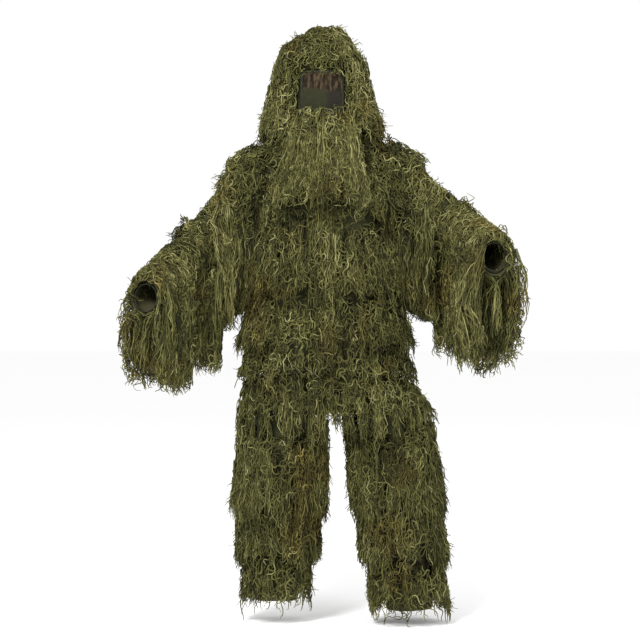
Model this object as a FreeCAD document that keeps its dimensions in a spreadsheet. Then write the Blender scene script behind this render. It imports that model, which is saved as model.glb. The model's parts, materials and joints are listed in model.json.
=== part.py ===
import FreeCAD, Part
import math
import os

# Ghillie suit: a hooded jacket and trousers, covered in hanging thread fringe, in the stance of
# a standing wearer whose arms are held out. Millimetres, +Z up, the front faces -Y, and +X is
# the wearer's left. The origin is the point of the neck base that the jacket hangs from.

PART_DOC = FreeCAD.newDocument("GhillieSuit")
UP = FreeCAD.Vector(0, 0, 1)

# ---------------------------------------------------------------- driving dimensions

# Single sizes.
PLAIN_SIZES = {
    "cloth_wall": 4,            # base cloth with its netting
    "seam_gap": 0.6,            # between two panels at a seam
    "elastic_gap": 0.5,         # between a band and its casing
    "elastic_thickness": 2.5,
    "elastic_width": 22,
    "reach": 900,               # length of the cutting solids, beyond the whole suit
    "armhole_radius": 68,
    "armhole_level": -112,
    "placket_half_width": 38,
    "placket_standoff": 5,      # the flap lies over the studs
    "placket_cloth": 3,
    "placket_top": -70,
    "placket_bottom": -708,
    "placket_fringe_standoff": 14,
    "placket_fringe_thickness": 22,
    "placket_fringe_half_width": 35,
    "front_edge_left": 44,      # the front fringe starts here, beside the placket
    "front_edge_right": -55,    # further out on the hinge side, where the flap swings
    "yoke_half_span": 180,      # the yoke fringe stops at the sleeve seams
    "snap_count": 5,
    "snap_first_level": -130,
    "snap_pitch": 138,
    "snap_offset": 15,
    "snap_stud_radius": 5,
    "snap_stud_height": 2.4,
    "snap_stud_seat": 0.9,      # a fastener clears the slope of what it is fixed to
    "snap_cap_seat": 1.6,
    "snap_cap_radius": 8,
    "snap_cap_height": 3,
    "hood_axis_x": -9,
    "hood_axis_y": 8,
    "face_opening_left": 57,
    "face_opening_right": -75,
    "face_opening_top": 200,
    "screen_left": 50,
    "screen_right": -68,
    "screen_top": 196,
    "screen_bottom": 84,
    "binding_width": 9,
    "veil_half_angle": 36,      # the chin curtain, measured round the hood
    "panel_half_angle": 31,     # the cloth behind it
    "brow_half_angle": 27,
    "hood_side_angle": 85,      # each side fringe, measured round the hood
    "hood_back_angle": 110,
    "elbow_swing_in": 20,
    "elbow_swing_out": 15,
    "hip_level": -840,
    "hip_forward": 30,
    "hip_back": 15,
    "knee_level": -1115,
    "knee_back": 40,
    "sector_margin": 1,         # degrees left free at each end of a swing
    "leg_opening_half": 82,
    "leg_opening_depth": 60,
    "shoulder_fringe_drop": 40,  # how far below its seam the thread on a shoulder reaches
    "hood_side_margin": 2,      # degrees between the chin curtain and the hood's side fringe
    "cuff_elastic_width": 10,
    "cuff_elastic_setback": 12,  # from the cuff's edge
    "cuff_inset_height": 8,     # an elastic is drawn in from the slope of the cloth round it
    "cuff_inset_width": 4,
    "waist_elastic_inset": 1,
    "ankle_elastic_inset": 3,
    "right_drape_floor": -690,  # where the thread under each upper arm ends
    "left_drape_floor": -636,
    "right_hang_floor": -745,   # and under each forearm
    "left_hang_floor": -685,
}

# Horizontal sections: height, inner half width, inner half depth, wall, centre x, centre y.
LEVELS = {
    "neck": (4, 74, 68, 4, 0, 0),
    "shoulder": (-36, 158, 88, 4, 0, 0),
    "armpit": (-112, 182, 108, 4, 0, 0),
    "chest": (-260, 186, 124, 4, 0, 0),
    "waist": (-480, 186, 128, 4, 0, 0),
    "hem": (-716, 196, 134, 4, 0, 0),
    "collar_top": (17, 74, 68, 5, 0, 0),
    "collar_bottom": (5.5, 74, 68, 5, 0, 0),
    "yoke_top": (-18, 168, 98, 20, 0, 0),
    "yoke_bottom": (-232, 214, 142, 29, 0, 0),
    "chest_fringe_top": (-236, 198, 136, 22, 0, 0),
    "chest_fringe_bottom": (-462, 222, 158, 42, 0, 0),
    "waist_fringe_top": (-466, 208, 146, 28, 2, 0),
    "waist_fringe_bottom": (-628, 232, 164, 44, 2, 0),
    "hem_fringe_top": (-632, 212, 150, 34, 4, 0),
    "hem_fringe_bottom": (-724, 238, 168, 44, 6, 0),
    "hood_hem": (26, 128, 134, 4, -9, 8),
    "hood_jaw": (110, 96, 112, 4, -9, 8),
    "hood_brow": (220, 90, 106, 4, -9, 8),
    "hood_crown": (272, 66, 78, 4, -9, 8),
    "hood_top": (300, 26, 30, 4, -9, 8),
    "crown_rim": (240, 98, 114, 32, -14, 8),
    "crown_bend": (284, 76, 86, 34, -18, 8),
    "crown_top": (342, 2, 4, 42, 6, 8),
    "side_top": (236, 102, 118, 30, -14, 8),
    "side_middle": (110, 114, 128, 46, -14, 8),
    "side_bottom": (22, 142, 148, 42, -8, 8),
    "veil_brow": (204, 98, 122, 2, -9, 8),
    "veil_chin": (84, 110, 132, 2, -9, 8),
    "veil_throat": (26, 148, 156, 3, -9, 8),
    "veil_hem": (-150, 186, 206, 3, -9, 8),
    "brow_top": (204, 102, 127, 18, -9, 8),
    "brow_bottom": (156, 106, 132, 22, -9, 8),
    "curtain_top": (82, 114, 137, 22, -9, 8),
    "curtain_throat": (26, 153, 161, 26, -9, 8),
    "curtain_bottom": (-186, 204, 222, 30, -9, 8),
    "band": (-436, 172, 116, 4, 2, 0),
    "seat_cover": (-716, 180, 122, 4, 5, 0),
    "seat_bottom": (-838, 246, 128, 4, 31, 0),
    "hip_top": (-728, 212, 146, 48, 8, 0),
    "hip_bottom": (-837, 256, 150, 50, 32, 0),
    "right_thigh_top": (-841.5, 84, 92, 4, -125, 0),
    "right_thigh_bottom": (-1113.5, 76, 82, 4, -140, 0),
    "right_shin_top": (-1116.5, 76, 82, 4, -140, 0),
    "right_shin_bottom": (-1421, 66, 72, 4, -154, 0),
    "right_thigh_fringe_top": (-841.5, 96, 106, 46, -128, 0),
    "right_thigh_fringe_bottom": (-1113.5, 98, 106, 52, -140, 0),
    "right_shin_fringe_top": (-1116.5, 88, 98, 42, -142, 0),
    "right_shin_fringe_bottom": (-1264, 90, 100, 46, -147, 0),
    "right_hem_fringe_top": (-1268, 80, 88, 30, -148, 0),
    "right_hem_fringe_bottom": (-1420, 78, 86, 34, -154, 0),
    "left_thigh_top": (-841.5, 84, 92, 4, 190, 0),
    "left_thigh_bottom": (-1113.5, 76, 82, 4, 224, -20),
    "left_shin_top": (-1116.5, 76, 82, 4, 224, -20),
    "left_shin_bottom": (-1444, 66, 72, 4, 260, -49),
    "left_thigh_fringe_top": (-841.5, 96, 106, 46, 192, 0),
    "left_thigh_fringe_bottom": (-1113.5, 98, 106, 52, 224, -20),
    "left_shin_fringe_top": (-1116.5, 92, 102, 42, 226, -20),
    "left_shin_fringe_bottom": (-1272, 96, 106, 46, 242, -34),
    "left_hem_fringe_top": (-1276, 84, 92, 36, 244, -34),
    "left_hem_fringe_bottom": (-1443, 90, 98, 38, 262, -50),
}

# Upright sections of the sleeves: x, y, z of the centre, inner half height, inner half width,
# wall, and the sleeve's heading seen from above, in degrees from +X.
STATIONS = {
    "right_shoulder": (-200, 0, -108, 76, 72, 4, 180),
    "right_elbow": (-392, -22, -332, 68, 54, 4, 180),
    "right_cap_start": (-203, 0, -108, 83, 83, 22, 180),
    "right_cap_end": (-298, -10, -186, 90, 76, 34, 180),
    "right_drape_start": (-302, -11, -409, 290, 94, 28, 180),
    "right_drape_end": (-392, -22, -524, 290, 88, 16, 180),
    "right_forearm": (-392, -22, -332, 58, 50, 4, 240),
    "right_cuff": (-536, -272, -492, 52, 46, 4, 240),
    "right_hang_start": (-392, -22, -508, 258, 84, 24, 240),
    "right_hang_middle": (-462, -143, -581, 250, 84, 26, 240),
    "right_hang_end": (-544, -285, -616, 200, 78, 26, 240),
    "left_shoulder": (200, 0, -104, 76, 72, 4, 0),
    "left_elbow": (404, -28, -275, 64, 54, 4, 0),
    "left_cap_start": (203, 0, -104, 83, 83, 22, 0),
    "left_cap_end": (300, -12, -184, 90, 76, 42, 0),
    "left_drape_start": (304, -13, -367, 280, 94, 26, 0),
    "left_drape_end": (404, -28, -461, 280, 88, 16, 0),
    "left_forearm": (404, -28, -275, 58, 50, 4, 287),
    "left_cuff": (500, -342, -372, 52, 46, 4, 287),
    "left_hang_start": (404, -28, -449, 256, 88, 24, 287),
    "left_hang_middle": (452, -185, -490, 246, 88, 26, 287),
    "left_hang_end": (506, -362, -508, 212, 80, 26, 287),
}

LEVEL_FIELDS = ("level", "half_width", "half_depth", "wall", "x", "y")
STATION_FIELDS = ("x", "y", "level", "half_height", "half_width", "wall", "heading")


def fill_sheet():
    """Writes every driving dimension to the sheet, one alias each."""
    sheet = PART_DOC.addObject("Spreadsheet::Sheet", "Sizes")
    rows = dict(PLAIN_SIZES)
    for table, fields in ((LEVELS, LEVEL_FIELDS), (STATIONS, STATION_FIELDS)):
        for name, values in table.items():
            for field, value in zip(fields, values):
                rows[f"{name}_{field}"] = value
    for number, (alias, value) in enumerate(rows.items(), start=1):
        sheet.set(f"A{number}", alias)
        sheet.set(f"B{number}", str(value))
        sheet.setAlias(f"B{number}", alias)
    PART_DOC.recompute()
    return sheet


SHEET = fill_sheet()


def size(alias):
    """A driving dimension as a number."""
    return float(SHEET.get(alias))


def bind(item, **expressions):
    """Binds properties of an object to the sheet; a double underscore stands for a dot."""
    for name, expression in expressions.items():
        item.setExpression(name.replace("__", "."), str(expression))


def of_sheet(alias):
    return f"Sizes.{alias}"


# ---------------------------------------------------------------- sections and shells


def level_section(name, grow):
    """A horizontal ellipse at one level, its inner size plus grow."""
    ellipse = PART_DOC.addObject("Part::Ellipse", "Level")
    width = of_sheet(f"{name}_half_width")
    depth = of_sheet(f"{name}_half_depth")
    if size(f"{name}_half_depth") > size(f"{name}_half_width"):
        width, depth = depth, width
        ellipse.Placement = FreeCAD.Placement(FreeCAD.Vector(), FreeCAD.Rotation(UP, 90))
    bind(
        ellipse,
        MajorRadius=f"{width} + {grow}",
        MinorRadius=f"{depth} + {grow}",
        Placement__Base__x=of_sheet(f"{name}_x"),
        Placement__Base__y=of_sheet(f"{name}_y"),
        Placement__Base__z=of_sheet(f"{name}_level"),
    )
    return ellipse


def station_section(name, grow):
    """An upright ellipse across a sleeve, its inner size plus grow."""
    ellipse = PART_DOC.addObject("Part::Ellipse", "Station")
    heading = math.radians(size(f"{name}_heading"))
    along = FreeCAD.Vector(math.cos(heading), math.sin(heading), 0)
    turn = FreeCAD.Rotation(UP, along.cross(UP), along, "ZXY")
    ellipse.Placement = FreeCAD.Placement(FreeCAD.Vector(), turn)
    bind(
        ellipse,
        MajorRadius=f"{of_sheet(name + '_half_height')} + {grow}",
        MinorRadius=f"{of_sheet(name + '_half_width')} + {grow}",
        Placement__Base__x=of_sheet(f"{name}_x"),
        Placement__Base__y=of_sheet(f"{name}_y"),
        Placement__Base__z=of_sheet(f"{name}_level"),
    )
    return ellipse


def loft(sections):
    """A solid through a row of sections, straight between each two."""
    body = PART_DOC.addObject("Part::Loft", "Loft")
    body.Sections = sections
    body.Solid = True
    body.Ruled = True
    return body


def filled(names, section, grow=None):
    """The solid inside a row of sections; grow None means out to each section's wall."""
    grown = [grow if grow is not None else of_sheet(f"{name}_wall") for name in names]
    return loft([section(name, more) for name, more in zip(names, grown)])


def cut(base, tool):
    result = PART_DOC.addObject("Part::Cut", "Cut")
    result.Base = base
    result.Tool = tool
    return result


def common(base, tool):
    result = PART_DOC.addObject("Part::Common", "Common")
    result.Base = base
    result.Tool = tool
    return result


def shell(names, section=level_section):
    """An open tube: the outer solid of the sections less the inner one."""
    return cut(filled(names, section), filled(names, section, 0))


def box(x_low, x_high, y_low, y_high, z_low, z_high):
    """A box between limits, each a number or an expression."""
    block = PART_DOC.addObject("Part::Box", "Block")
    bind(
        block,
        Length=f"({x_high}) - ({x_low})",
        Width=f"({y_high}) - ({y_low})",
        Height=f"({z_high}) - ({z_low})",
        Placement__Base__x=x_low,
        Placement__Base__y=y_low,
        Placement__Base__z=z_low,
    )
    return block


FAR = of_sheet("reach")
NEAR = f"-{FAR}"
LONG = f"2 * {FAR}"
HALF_SEAM = f"{of_sheet('seam_gap')} / 2"


def part_box(**limits):
    """A box that reaches past the suit on every side that has no limit."""
    order = ("x_low", "x_high", "y_low", "y_high", "z_low", "z_high")
    open_ends = (NEAR, FAR, NEAR, FAR, f"-{LONG}", FAR)
    return box(*[limits.get(key, end) for key, end in zip(order, open_ends)])


def upright_sector(x, y, start, angle):
    """A pie slice about an upright axis, from the start angle, both in degrees."""
    slice_ = PART_DOC.addObject("Part::Cylinder", "Slice")
    slice_.Placement = FreeCAD.Placement(FreeCAD.Vector(), FreeCAD.Rotation(UP, start))
    bind(
        slice_,
        Radius=FAR,
        Height=f"3 * {FAR}",
        Angle=angle,
        Placement__Base__x=x,
        Placement__Base__y=y,
        Placement__Base__z=f"-{LONG}",
    )
    return slice_


def level_sector(y, z, front, back):
    """A pie slice about an axis along X that opens downwards, from front to back."""
    slice_ = PART_DOC.addObject("Part::Cylinder", "Slice")
    across = FreeCAD.Vector(1, 0, 0)
    # The slice's own start line is laid towards the front, that many degrees up from straight down.
    start = math.radians(front)
    start_line = FreeCAD.Vector(0, -math.sin(start), -math.cos(start))
    turn = FreeCAD.Rotation(start_line, across.cross(start_line), across, "ZXY")
    slice_.Placement = FreeCAD.Placement(FreeCAD.Vector(), turn)
    bind(
        slice_,
        Radius=FAR,
        Height=LONG,
        Angle=front + back,
        Placement__Base__x=NEAR,
        Placement__Base__y=y,
        Placement__Base__z=z,
    )
    return slice_


NODES = []


def keep(item, label):
    """Names a finished sub-part."""
    item.Label = label
    NODES.append(item)
    return item


# ---------------------------------------------------------------- jacket


def split_front_and_back(make_ring, name, left_edge, right_edge, half_span=FAR):
    """Cuts a ring into a back, a left front and a right front piece."""
    back = part_box(x_low=f"-{half_span}", x_high=half_span, y_low=HALF_SEAM)
    left = part_box(x_low=left_edge, x_high=half_span, y_high=f"-{HALF_SEAM}")
    right = part_box(x_low=f"-{half_span}", x_high=right_edge, y_high=f"-{HALF_SEAM}")
    for piece, label in ((back, "back"), (left, "front_left"), (right, "front_right")):
        keep(common(make_ring(), piece), name.format(label))


def armhole():
    """The opening that the sleeves are sewn to, through both sides."""
    hole = PART_DOC.addObject("Part::Cylinder", "Armhole")
    hole.Placement = FreeCAD.Placement(
        FreeCAD.Vector(), FreeCAD.Rotation(FreeCAD.Vector(0, 1, 0), 90)
    )
    bind(
        hole,
        Radius=of_sheet("armhole_radius"),
        Height=LONG,
        Placement__Base__x=NEAR,
        Placement__Base__z=of_sheet("armhole_level"),
    )
    return hole


SHELL_LEVELS = ("neck", "shoulder", "armpit", "chest", "waist", "hem")


def jacket_panels():
    split_front_and_back(
        lambda: cut(shell(SHELL_LEVELS), armhole()),
        "jacket_{}_panel",
        HALF_SEAM,
        f"-{HALF_SEAM}",
    )


def jacket_fringe():
    """Four tiers down the jacket, parted at the front for the placket."""
    left = of_sheet("front_edge_left")
    right = of_sheet("front_edge_right")
    for tier in ("yoke", "chest_fringe", "waist_fringe", "hem_fringe"):
        levels = (f"{tier}_top", f"{tier}_bottom")
        name = tier.replace("_fringe", "") + "_fringe_{}"
        span = of_sheet("yoke_half_span") if tier == "yoke" else FAR
        split_front_and_back(lambda rows=levels: shell(rows), name, left, right, span)


def band_ring(name, half_width, half_depth, x, y, low, thickness, label):
    """A flat elastic or collar band: an upright elliptic ring, as a padded sketch."""
    body = PART_DOC.addObject("PartDesign::Body", name)
    plane = [item for item in body.Origin.OriginFeatures if item.Role == "XY_Plane"][0]
    sketch = body.newObject("Sketcher::SketchObject", name + "Sketch")
    sketch.AttachmentSupport = [(plane, "")]
    sketch.MapMode = "FlatFace"
    for grow in (0, thickness):
        centre = FreeCAD.Vector(x, y, 0)
        major = FreeCAD.Vector(x + half_width + grow, y, 0)
        minor = FreeCAD.Vector(x, y + half_depth + grow, 0)
        if half_depth > half_width:
            major, minor = minor, major
        sketch.addGeometry(Part.Ellipse(major, minor, centre), False)
    pad = body.newObject("PartDesign::Pad", name + "Pad")
    pad.Profile = sketch
    bind(pad, Length=of_sheet("elastic_width"))
    body.Placement = FreeCAD.Placement(FreeCAD.Vector(0, 0, low), FreeCAD.Rotation())
    keep(body, label)


def at_level(names, level, field):
    """A size of a shell at a height between two of its levels, straight between them."""
    for upper, lower in zip(names, names[1:]):
        top = size(f"{upper}_level")
        bottom = size(f"{lower}_level")
        if bottom <= level <= top:
            share = (top - level) / (top - bottom)
            first = size(f"{upper}_{field}")
            return first + share * (size(f"{lower}_{field}") - first)
    raise ValueError(f"no level {level} in {names}")


def collar_and_hem():
    keep(shell(("collar_top", "collar_bottom")), "collar_band")
    band_ring(
        "HemElastic",
        size("hem_half_width") + size("cloth_wall") + size("elastic_gap"),
        size("hem_half_depth") + size("cloth_wall") + size("elastic_gap"),
        0,
        0,
        size("hem_level"),
        size("elastic_thickness"),
        "jacket_hem_elastic",
    )


# ---------------------------------------------------------------- placket


def placket_layer(standoff, thickness, half_width):
    """A strip over the front opening, at a distance from the jacket's outer face."""
    outer = filled(SHELL_LEVELS[1:], level_section, f"{of_sheet('cloth_wall')} + {standoff} + {thickness}")
    inner = filled(SHELL_LEVELS[1:], level_section, f"{of_sheet('cloth_wall')} + {standoff}")
    strip = part_box(
        x_low=f"-{half_width}",
        x_high=half_width,
        y_high=0,
        z_low=of_sheet("placket_bottom"),
        z_high=of_sheet("placket_top"),
    )
    return common(cut(outer, inner), strip)


def snap_row(radius, height, standoff, label):
    """One round press fastener at each pitch, lying on the jacket's front."""
    fasteners = []
    for number in range(int(size("snap_count"))):
        level = size("snap_first_level") - number * size("snap_pitch")
        depth = at_level(SHELL_LEVELS, level, "half_depth") + size("cloth_wall")
        width = at_level(SHELL_LEVELS, level, "half_width") + size("cloth_wall")
        face = depth * math.sqrt(1 - (size("snap_offset") / width) ** 2)
        disc = PART_DOC.addObject("Part::Cylinder", "Snap")
        disc.Placement = FreeCAD.Placement(
            FreeCAD.Vector(), FreeCAD.Rotation(FreeCAD.Vector(1, 0, 0), 90)
        )
        bind(
            disc,
            Radius=of_sheet(radius),
            Height=of_sheet(height),
            Placement__Base__x=of_sheet("snap_offset"),
            Placement__Base__y=f"-({face + standoff})",
            Placement__Base__z=f"{of_sheet('snap_first_level')} - {number} * {of_sheet('snap_pitch')}",
        )
        fasteners.append(disc)
    group = PART_DOC.addObject("Part::Compound", "Snaps")
    group.Links = fasteners
    keep(group, label)


def placket():
    keep(
        placket_layer(
            of_sheet("placket_standoff"), of_sheet("placket_cloth"), of_sheet("placket_half_width")
        ),
        "placket_flap",
    )
    keep(
        placket_layer(
            of_sheet("placket_fringe_standoff"),
            of_sheet("placket_fringe_thickness"),
            of_sheet("placket_fringe_half_width"),
        ),
        "placket_fringe",
    )
    snap_row("snap_stud_radius", "snap_stud_height", size("snap_stud_seat"), "snap_studs")
    cap_standoff = size("placket_standoff") + size("placket_cloth") + size("snap_cap_seat")
    snap_row("snap_cap_radius", "snap_cap_height", cap_standoff, "snap_caps")


# ---------------------------------------------------------------- hood and veil


def hood_sector(start, angle):
    return upright_sector(of_sheet("hood_axis_x"), of_sheet("hood_axis_y"), start, angle)


def hood():
    """The head shell with its face opening, and the fringe round it."""
    levels = ("hood_hem", "hood_jaw", "hood_brow", "hood_crown", "hood_top")
    outer = filled(levels, level_section)
    inner = filled(levels, level_section, 0)
    capped = cut(inner, part_box(z_low=f"{of_sheet('hood_top_level')} - {of_sheet('cloth_wall')}"))
    opening = part_box(
        x_low=of_sheet("face_opening_right"),
        x_high=of_sheet("face_opening_left"),
        y_high=0,
        z_high=of_sheet("face_opening_top"),
    )
    keep(cut(cut(outer, capped), opening), "hood_shell")

    crown = ("crown_rim", "crown_bend", "crown_top")
    crown_hollow = cut(
        filled(crown, level_section, 0),
        part_box(z_low=f"{of_sheet('crown_bend_level')} + {of_sheet('crown_bend_wall')}"),
    )
    keep(cut(filled(crown, level_section), crown_hollow), "hood_crown_fringe")

    side_levels = ("side_top", "side_middle", "side_bottom")
    veil_edge = -90 + size("veil_half_angle") + size("hood_side_margin")
    side = size("hood_side_angle")
    back = size("hood_back_angle")
    gap = size("sector_margin")
    pieces = (
        ("hood_side_fringe_left", veil_edge, side),
        ("hood_back_fringe", veil_edge + side + gap, back - 2 * gap),
        ("hood_side_fringe_right", veil_edge + side + back, side),
    )
    for label, start, angle in pieces:
        keep(common(shell(side_levels), hood_sector(start, angle)), label)


def front_sector(half_angle):
    """The pie slice at the front of the hood, that many degrees to each side."""
    half = size(half_angle)
    return hood_sector(-90 - half, 2 * half)


def screen_window(margin):
    """The box of the face screen, grown by a margin."""
    return part_box(
        x_low=f"{of_sheet('screen_right')} - {margin}",
        x_high=f"{of_sheet('screen_left')} + {margin}",
        y_high=0,
        z_low=f"{of_sheet('screen_bottom')} - {margin}",
        z_high=f"{of_sheet('screen_top')} + {margin}",
    )


def veil():
    """The face screen in its binding, the chin panel below it, and their fringe."""
    face = ("veil_brow", "veil_chin")
    keep(common(shell(face), screen_window(0)), "face_screen")
    band = of_sheet("binding_width")
    face_and_chin = ("veil_brow", "veil_chin", "veil_throat")
    frame = cut(screen_window(band), screen_window(HALF_SEAM))
    keep(common(shell(face_and_chin), frame), "face_binding")

    panel = common(shell(("veil_chin", "veil_throat", "veil_hem")), front_sector("panel_half_angle"))
    below = part_box(z_high=f"{of_sheet('screen_bottom')} - {band} - {HALF_SEAM}")
    keep(common(panel, below), "chin_panel")

    curtain = shell(("curtain_top", "curtain_throat", "curtain_bottom"))
    keep(common(curtain, front_sector("veil_half_angle")), "chin_curtain_fringe")
    brow = shell(("brow_top", "brow_bottom"))
    keep(common(brow, front_sector("brow_half_angle")), "brow_fringe")


# ---------------------------------------------------------------- sleeves


def elbow_slices(side):
    """The space that each half of a sleeve keeps to, about the upright elbow axis."""
    x = of_sheet(f"{side}_elbow_x")
    y = of_sheet(f"{side}_elbow_y")
    upper = size(f"{side}_elbow_heading")
    lower = size(f"{side}_forearm_heading")
    margin = size("sector_margin")
    swing_in = size("elbow_swing_in")
    swing_out = size("elbow_swing_out")
    # The seam lies midway between the two headings. The front side is the inside of the bend.
    front, back = (1, -1) if side == "right" else (-1, 1)
    seam = (upper + (lower if side == "right" else lower - 360)) / 2
    inside = seam + front * 90
    outside = seam + back * 90
    lower_inside = inside - front * (swing_in + margin)
    lower_outside = outside - back * (swing_out + margin)
    low_start, low_end = sorted((lower_inside, lower_outside))
    up_start = max(inside, outside)
    return (
        upright_sector(x, y, up_start + margin, 180 - 2 * margin),
        upright_sector(x, y, low_start, low_end - low_start),
    )


def open_below(level):
    return part_box(z_low=of_sheet(level))


def sleeve(side):
    """One sleeve: its cloth tube in two halves, and the thread that hangs from it."""
    upper_slice, _ = elbow_slices(side)
    tube = shell((f"{side}_shoulder", f"{side}_elbow"), station_section)
    keep(common(tube, upper_slice), f"{side}_upper_sleeve")

    cap = shell((f"{side}_cap_start", f"{side}_cap_end"), station_section)
    shoulder_level = f"{of_sheet(side + '_shoulder_level')} - {of_sheet('shoulder_fringe_drop')}"
    keep(common(cap, part_box(z_low=shoulder_level)), f"{side}_shoulder_fringe")

    upper_slice, _ = elbow_slices(side)
    drape = shell((f"{side}_drape_start", f"{side}_drape_end"), station_section)
    hanging = common(common(drape, upper_slice), open_below(f"{side}_drape_floor"))
    keep(hanging, f"{side}_upper_sleeve_fringe")

    _, lower_slice = elbow_slices(side)
    forearm = shell((f"{side}_forearm", f"{side}_cuff"), station_section)
    keep(common(forearm, lower_slice), f"{side}_lower_sleeve")

    _, lower_slice = elbow_slices(side)
    names = (f"{side}_hang_start", f"{side}_hang_middle", f"{side}_hang_end")
    hang = common(shell(names, station_section), lower_slice)
    keep(common(hang, open_below(f"{side}_hang_floor")), f"{side}_lower_sleeve_fringe")
    cuff_elastic(side)


def cuff_elastic(side):
    """The elastic inside the cuff, an elliptic ring square to the sleeve's heading."""
    name = f"{side}_cuff"
    gap = size("elastic_gap")
    half_height = size(f"{name}_half_height") - gap - size("cuff_inset_height")
    half_width = size(f"{name}_half_width") - gap - size("cuff_inset_width")
    thickness = size("elastic_thickness")
    body = PART_DOC.addObject("PartDesign::Body", side.title() + "CuffElastic")
    plane = [item for item in body.Origin.OriginFeatures if item.Role == "XY_Plane"][0]
    sketch = body.newObject("Sketcher::SketchObject", side.title() + "CuffSketch")
    sketch.AttachmentSupport = [(plane, "")]
    sketch.MapMode = "FlatFace"
    for shrink in (0, thickness):
        major = FreeCAD.Vector(half_height - shrink, 0, 0)
        minor = FreeCAD.Vector(0, half_width - shrink, 0)
        sketch.addGeometry(Part.Ellipse(major, minor, FreeCAD.Vector()), False)
    pad = body.newObject("PartDesign::Pad", side.title() + "CuffPad")
    pad.Profile = sketch
    bind(pad, Length=of_sheet("cuff_elastic_width"))
    heading = math.radians(size(f"{name}_heading"))
    along = FreeCAD.Vector(math.cos(heading), math.sin(heading), 0)
    turn = FreeCAD.Rotation(UP, along.cross(UP), along, "ZXY")
    centre = FreeCAD.Vector(size(f"{name}_x"), size(f"{name}_y"), size(f"{name}_level"))
    body.Placement = FreeCAD.Placement(centre - along * size("cuff_elastic_setback"), turn)
    keep(body, f"{side}_cuff_elastic")


# ---------------------------------------------------------------- trousers


def leg_opening(side):
    """The hole in the seat that a leg is sewn to."""
    hole = PART_DOC.addObject("Part::Cylinder", "LegOpening")
    bind(
        hole,
        Radius=of_sheet("leg_opening_half"),
        Height=of_sheet("leg_opening_depth"),
        Placement__Base__x=of_sheet(f"{side}_thigh_top_x"),
        Placement__Base__y=of_sheet(f"{side}_thigh_top_y"),
        Placement__Base__z=f"{of_sheet('seat_bottom_level')} - {of_sheet('leg_opening_depth')} / 2",
    )
    return hole


def trousers():
    """The seat with its waist elastic and the hip fringe."""
    levels = ("band", "seat_cover", "seat_bottom")
    floor_level = f"{of_sheet('seat_bottom_level')} + {of_sheet('cloth_wall')}"
    hollow = common(filled(levels, level_section, 0), part_box(z_low=floor_level))
    seat = cut(filled(levels, level_section), hollow)
    for side in ("right", "left"):
        seat = cut(seat, leg_opening(side))
    keep(seat, "trousers_seat")

    inset = size("elastic_thickness") + size("elastic_gap") + size("waist_elastic_inset")
    band_ring(
        "WaistElastic",
        size("band_half_width") - inset,
        size("band_half_depth") - inset,
        size("band_x"),
        0,
        size("band_level") - size("elastic_width"),
        size("elastic_thickness"),
        "waist_elastic",
    )
    for label, piece in (
        ("hip_fringe_front", part_box(y_high=f"-{HALF_SEAM}")),
        ("hip_fringe_back", part_box(y_low=HALF_SEAM)),
    ):
        keep(common(shell(("hip_top", "hip_bottom")), piece), label)


def hip_slice(side):
    """The space that a thigh keeps to while it swings about the hip."""
    margin = size("sector_margin")
    return level_sector(
        of_sheet(f"{side}_thigh_top_y"),
        of_sheet("hip_level"),
        90 - size("hip_forward") - margin,
        90 - size("hip_back") - margin,
    )


def knee_slice(side):
    """The space that a shin keeps to while it bends back about the knee."""
    margin = size("sector_margin")
    return level_sector(
        of_sheet(f"{side}_shin_top_y"),
        of_sheet("knee_level"),
        90 - margin,
        90 - size("knee_back") - margin,
    )


def leg(side):
    """One trouser leg: thigh and shin tubes, their fringe and the ankle elastic."""
    for label, space, top, bottom in (
        ("thigh", hip_slice, "thigh_top", "thigh_bottom"),
        ("thigh_fringe", hip_slice, "thigh_fringe_top", "thigh_fringe_bottom"),
        ("shin", knee_slice, "shin_top", "shin_bottom"),
        ("shin_fringe", knee_slice, "shin_fringe_top", "shin_fringe_bottom"),
        ("ankle_fringe", knee_slice, "hem_fringe_top", "hem_fringe_bottom"),
    ):
        ring = shell((f"{side}_{top}", f"{side}_{bottom}"))
        keep(common(ring, space(side)), f"{side}_{label}")
    name = f"{side}_shin_bottom"
    inset = size("elastic_thickness") + size("elastic_gap") + size("ankle_elastic_inset")
    band_ring(
        side.title() + "AnkleElastic",
        size(f"{name}_half_width") - inset,
        size(f"{name}_half_depth") - inset,
        size(f"{name}_x"),
        size(f"{name}_y"),
        size(f"{name}_level") + 2,
        size("elastic_thickness"),
        f"{side}_ankle_elastic",
    )


# ---------------------------------------------------------------- build, test and write


def build():
    jacket_panels()
    collar_and_hem()
    jacket_fringe()
    placket()
    hood()
    veil()
    for side in ("right", "left"):
        sleeve(side)
    trousers()
    for side in ("right", "left"):
        leg(side)
    PART_DOC.recompute()


def test_objects():
    """Stops on an object that failed or on a sub-part that isn't a sound solid."""
    for item in PART_DOC.Objects:
        bad = [state for state in item.State if state in ("Invalid", "Error")]
        if bad:
            raise RuntimeError(f"{item.Name} ({item.Label}) is {bad}")
    for node in NODES:
        shape = node.Shape
        if shape.isNull() or not shape.isValid() or not shape.Solids:
            raise RuntimeError(f"{node.Label} isn't a valid solid")


def write_parts():
    os.makedirs("parts", exist_ok=True)
    for node in NODES:
        node.Shape.exportStep(f"parts/{node.Label}.step")
        print(f"{node.Label}: {len(node.Shape.Solids)} solid(s), {node.Shape.Volume / 1000:.1f} cm3")


build()
test_objects()
write_parts()
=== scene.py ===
"""Looks of the ghillie suit: threads, cloth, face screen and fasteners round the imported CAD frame."""

import json
import math
import zlib

import bmesh
import bpy
import numpy as np
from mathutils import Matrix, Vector, noise
from mathutils.bvhtree import BVHTree


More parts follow.
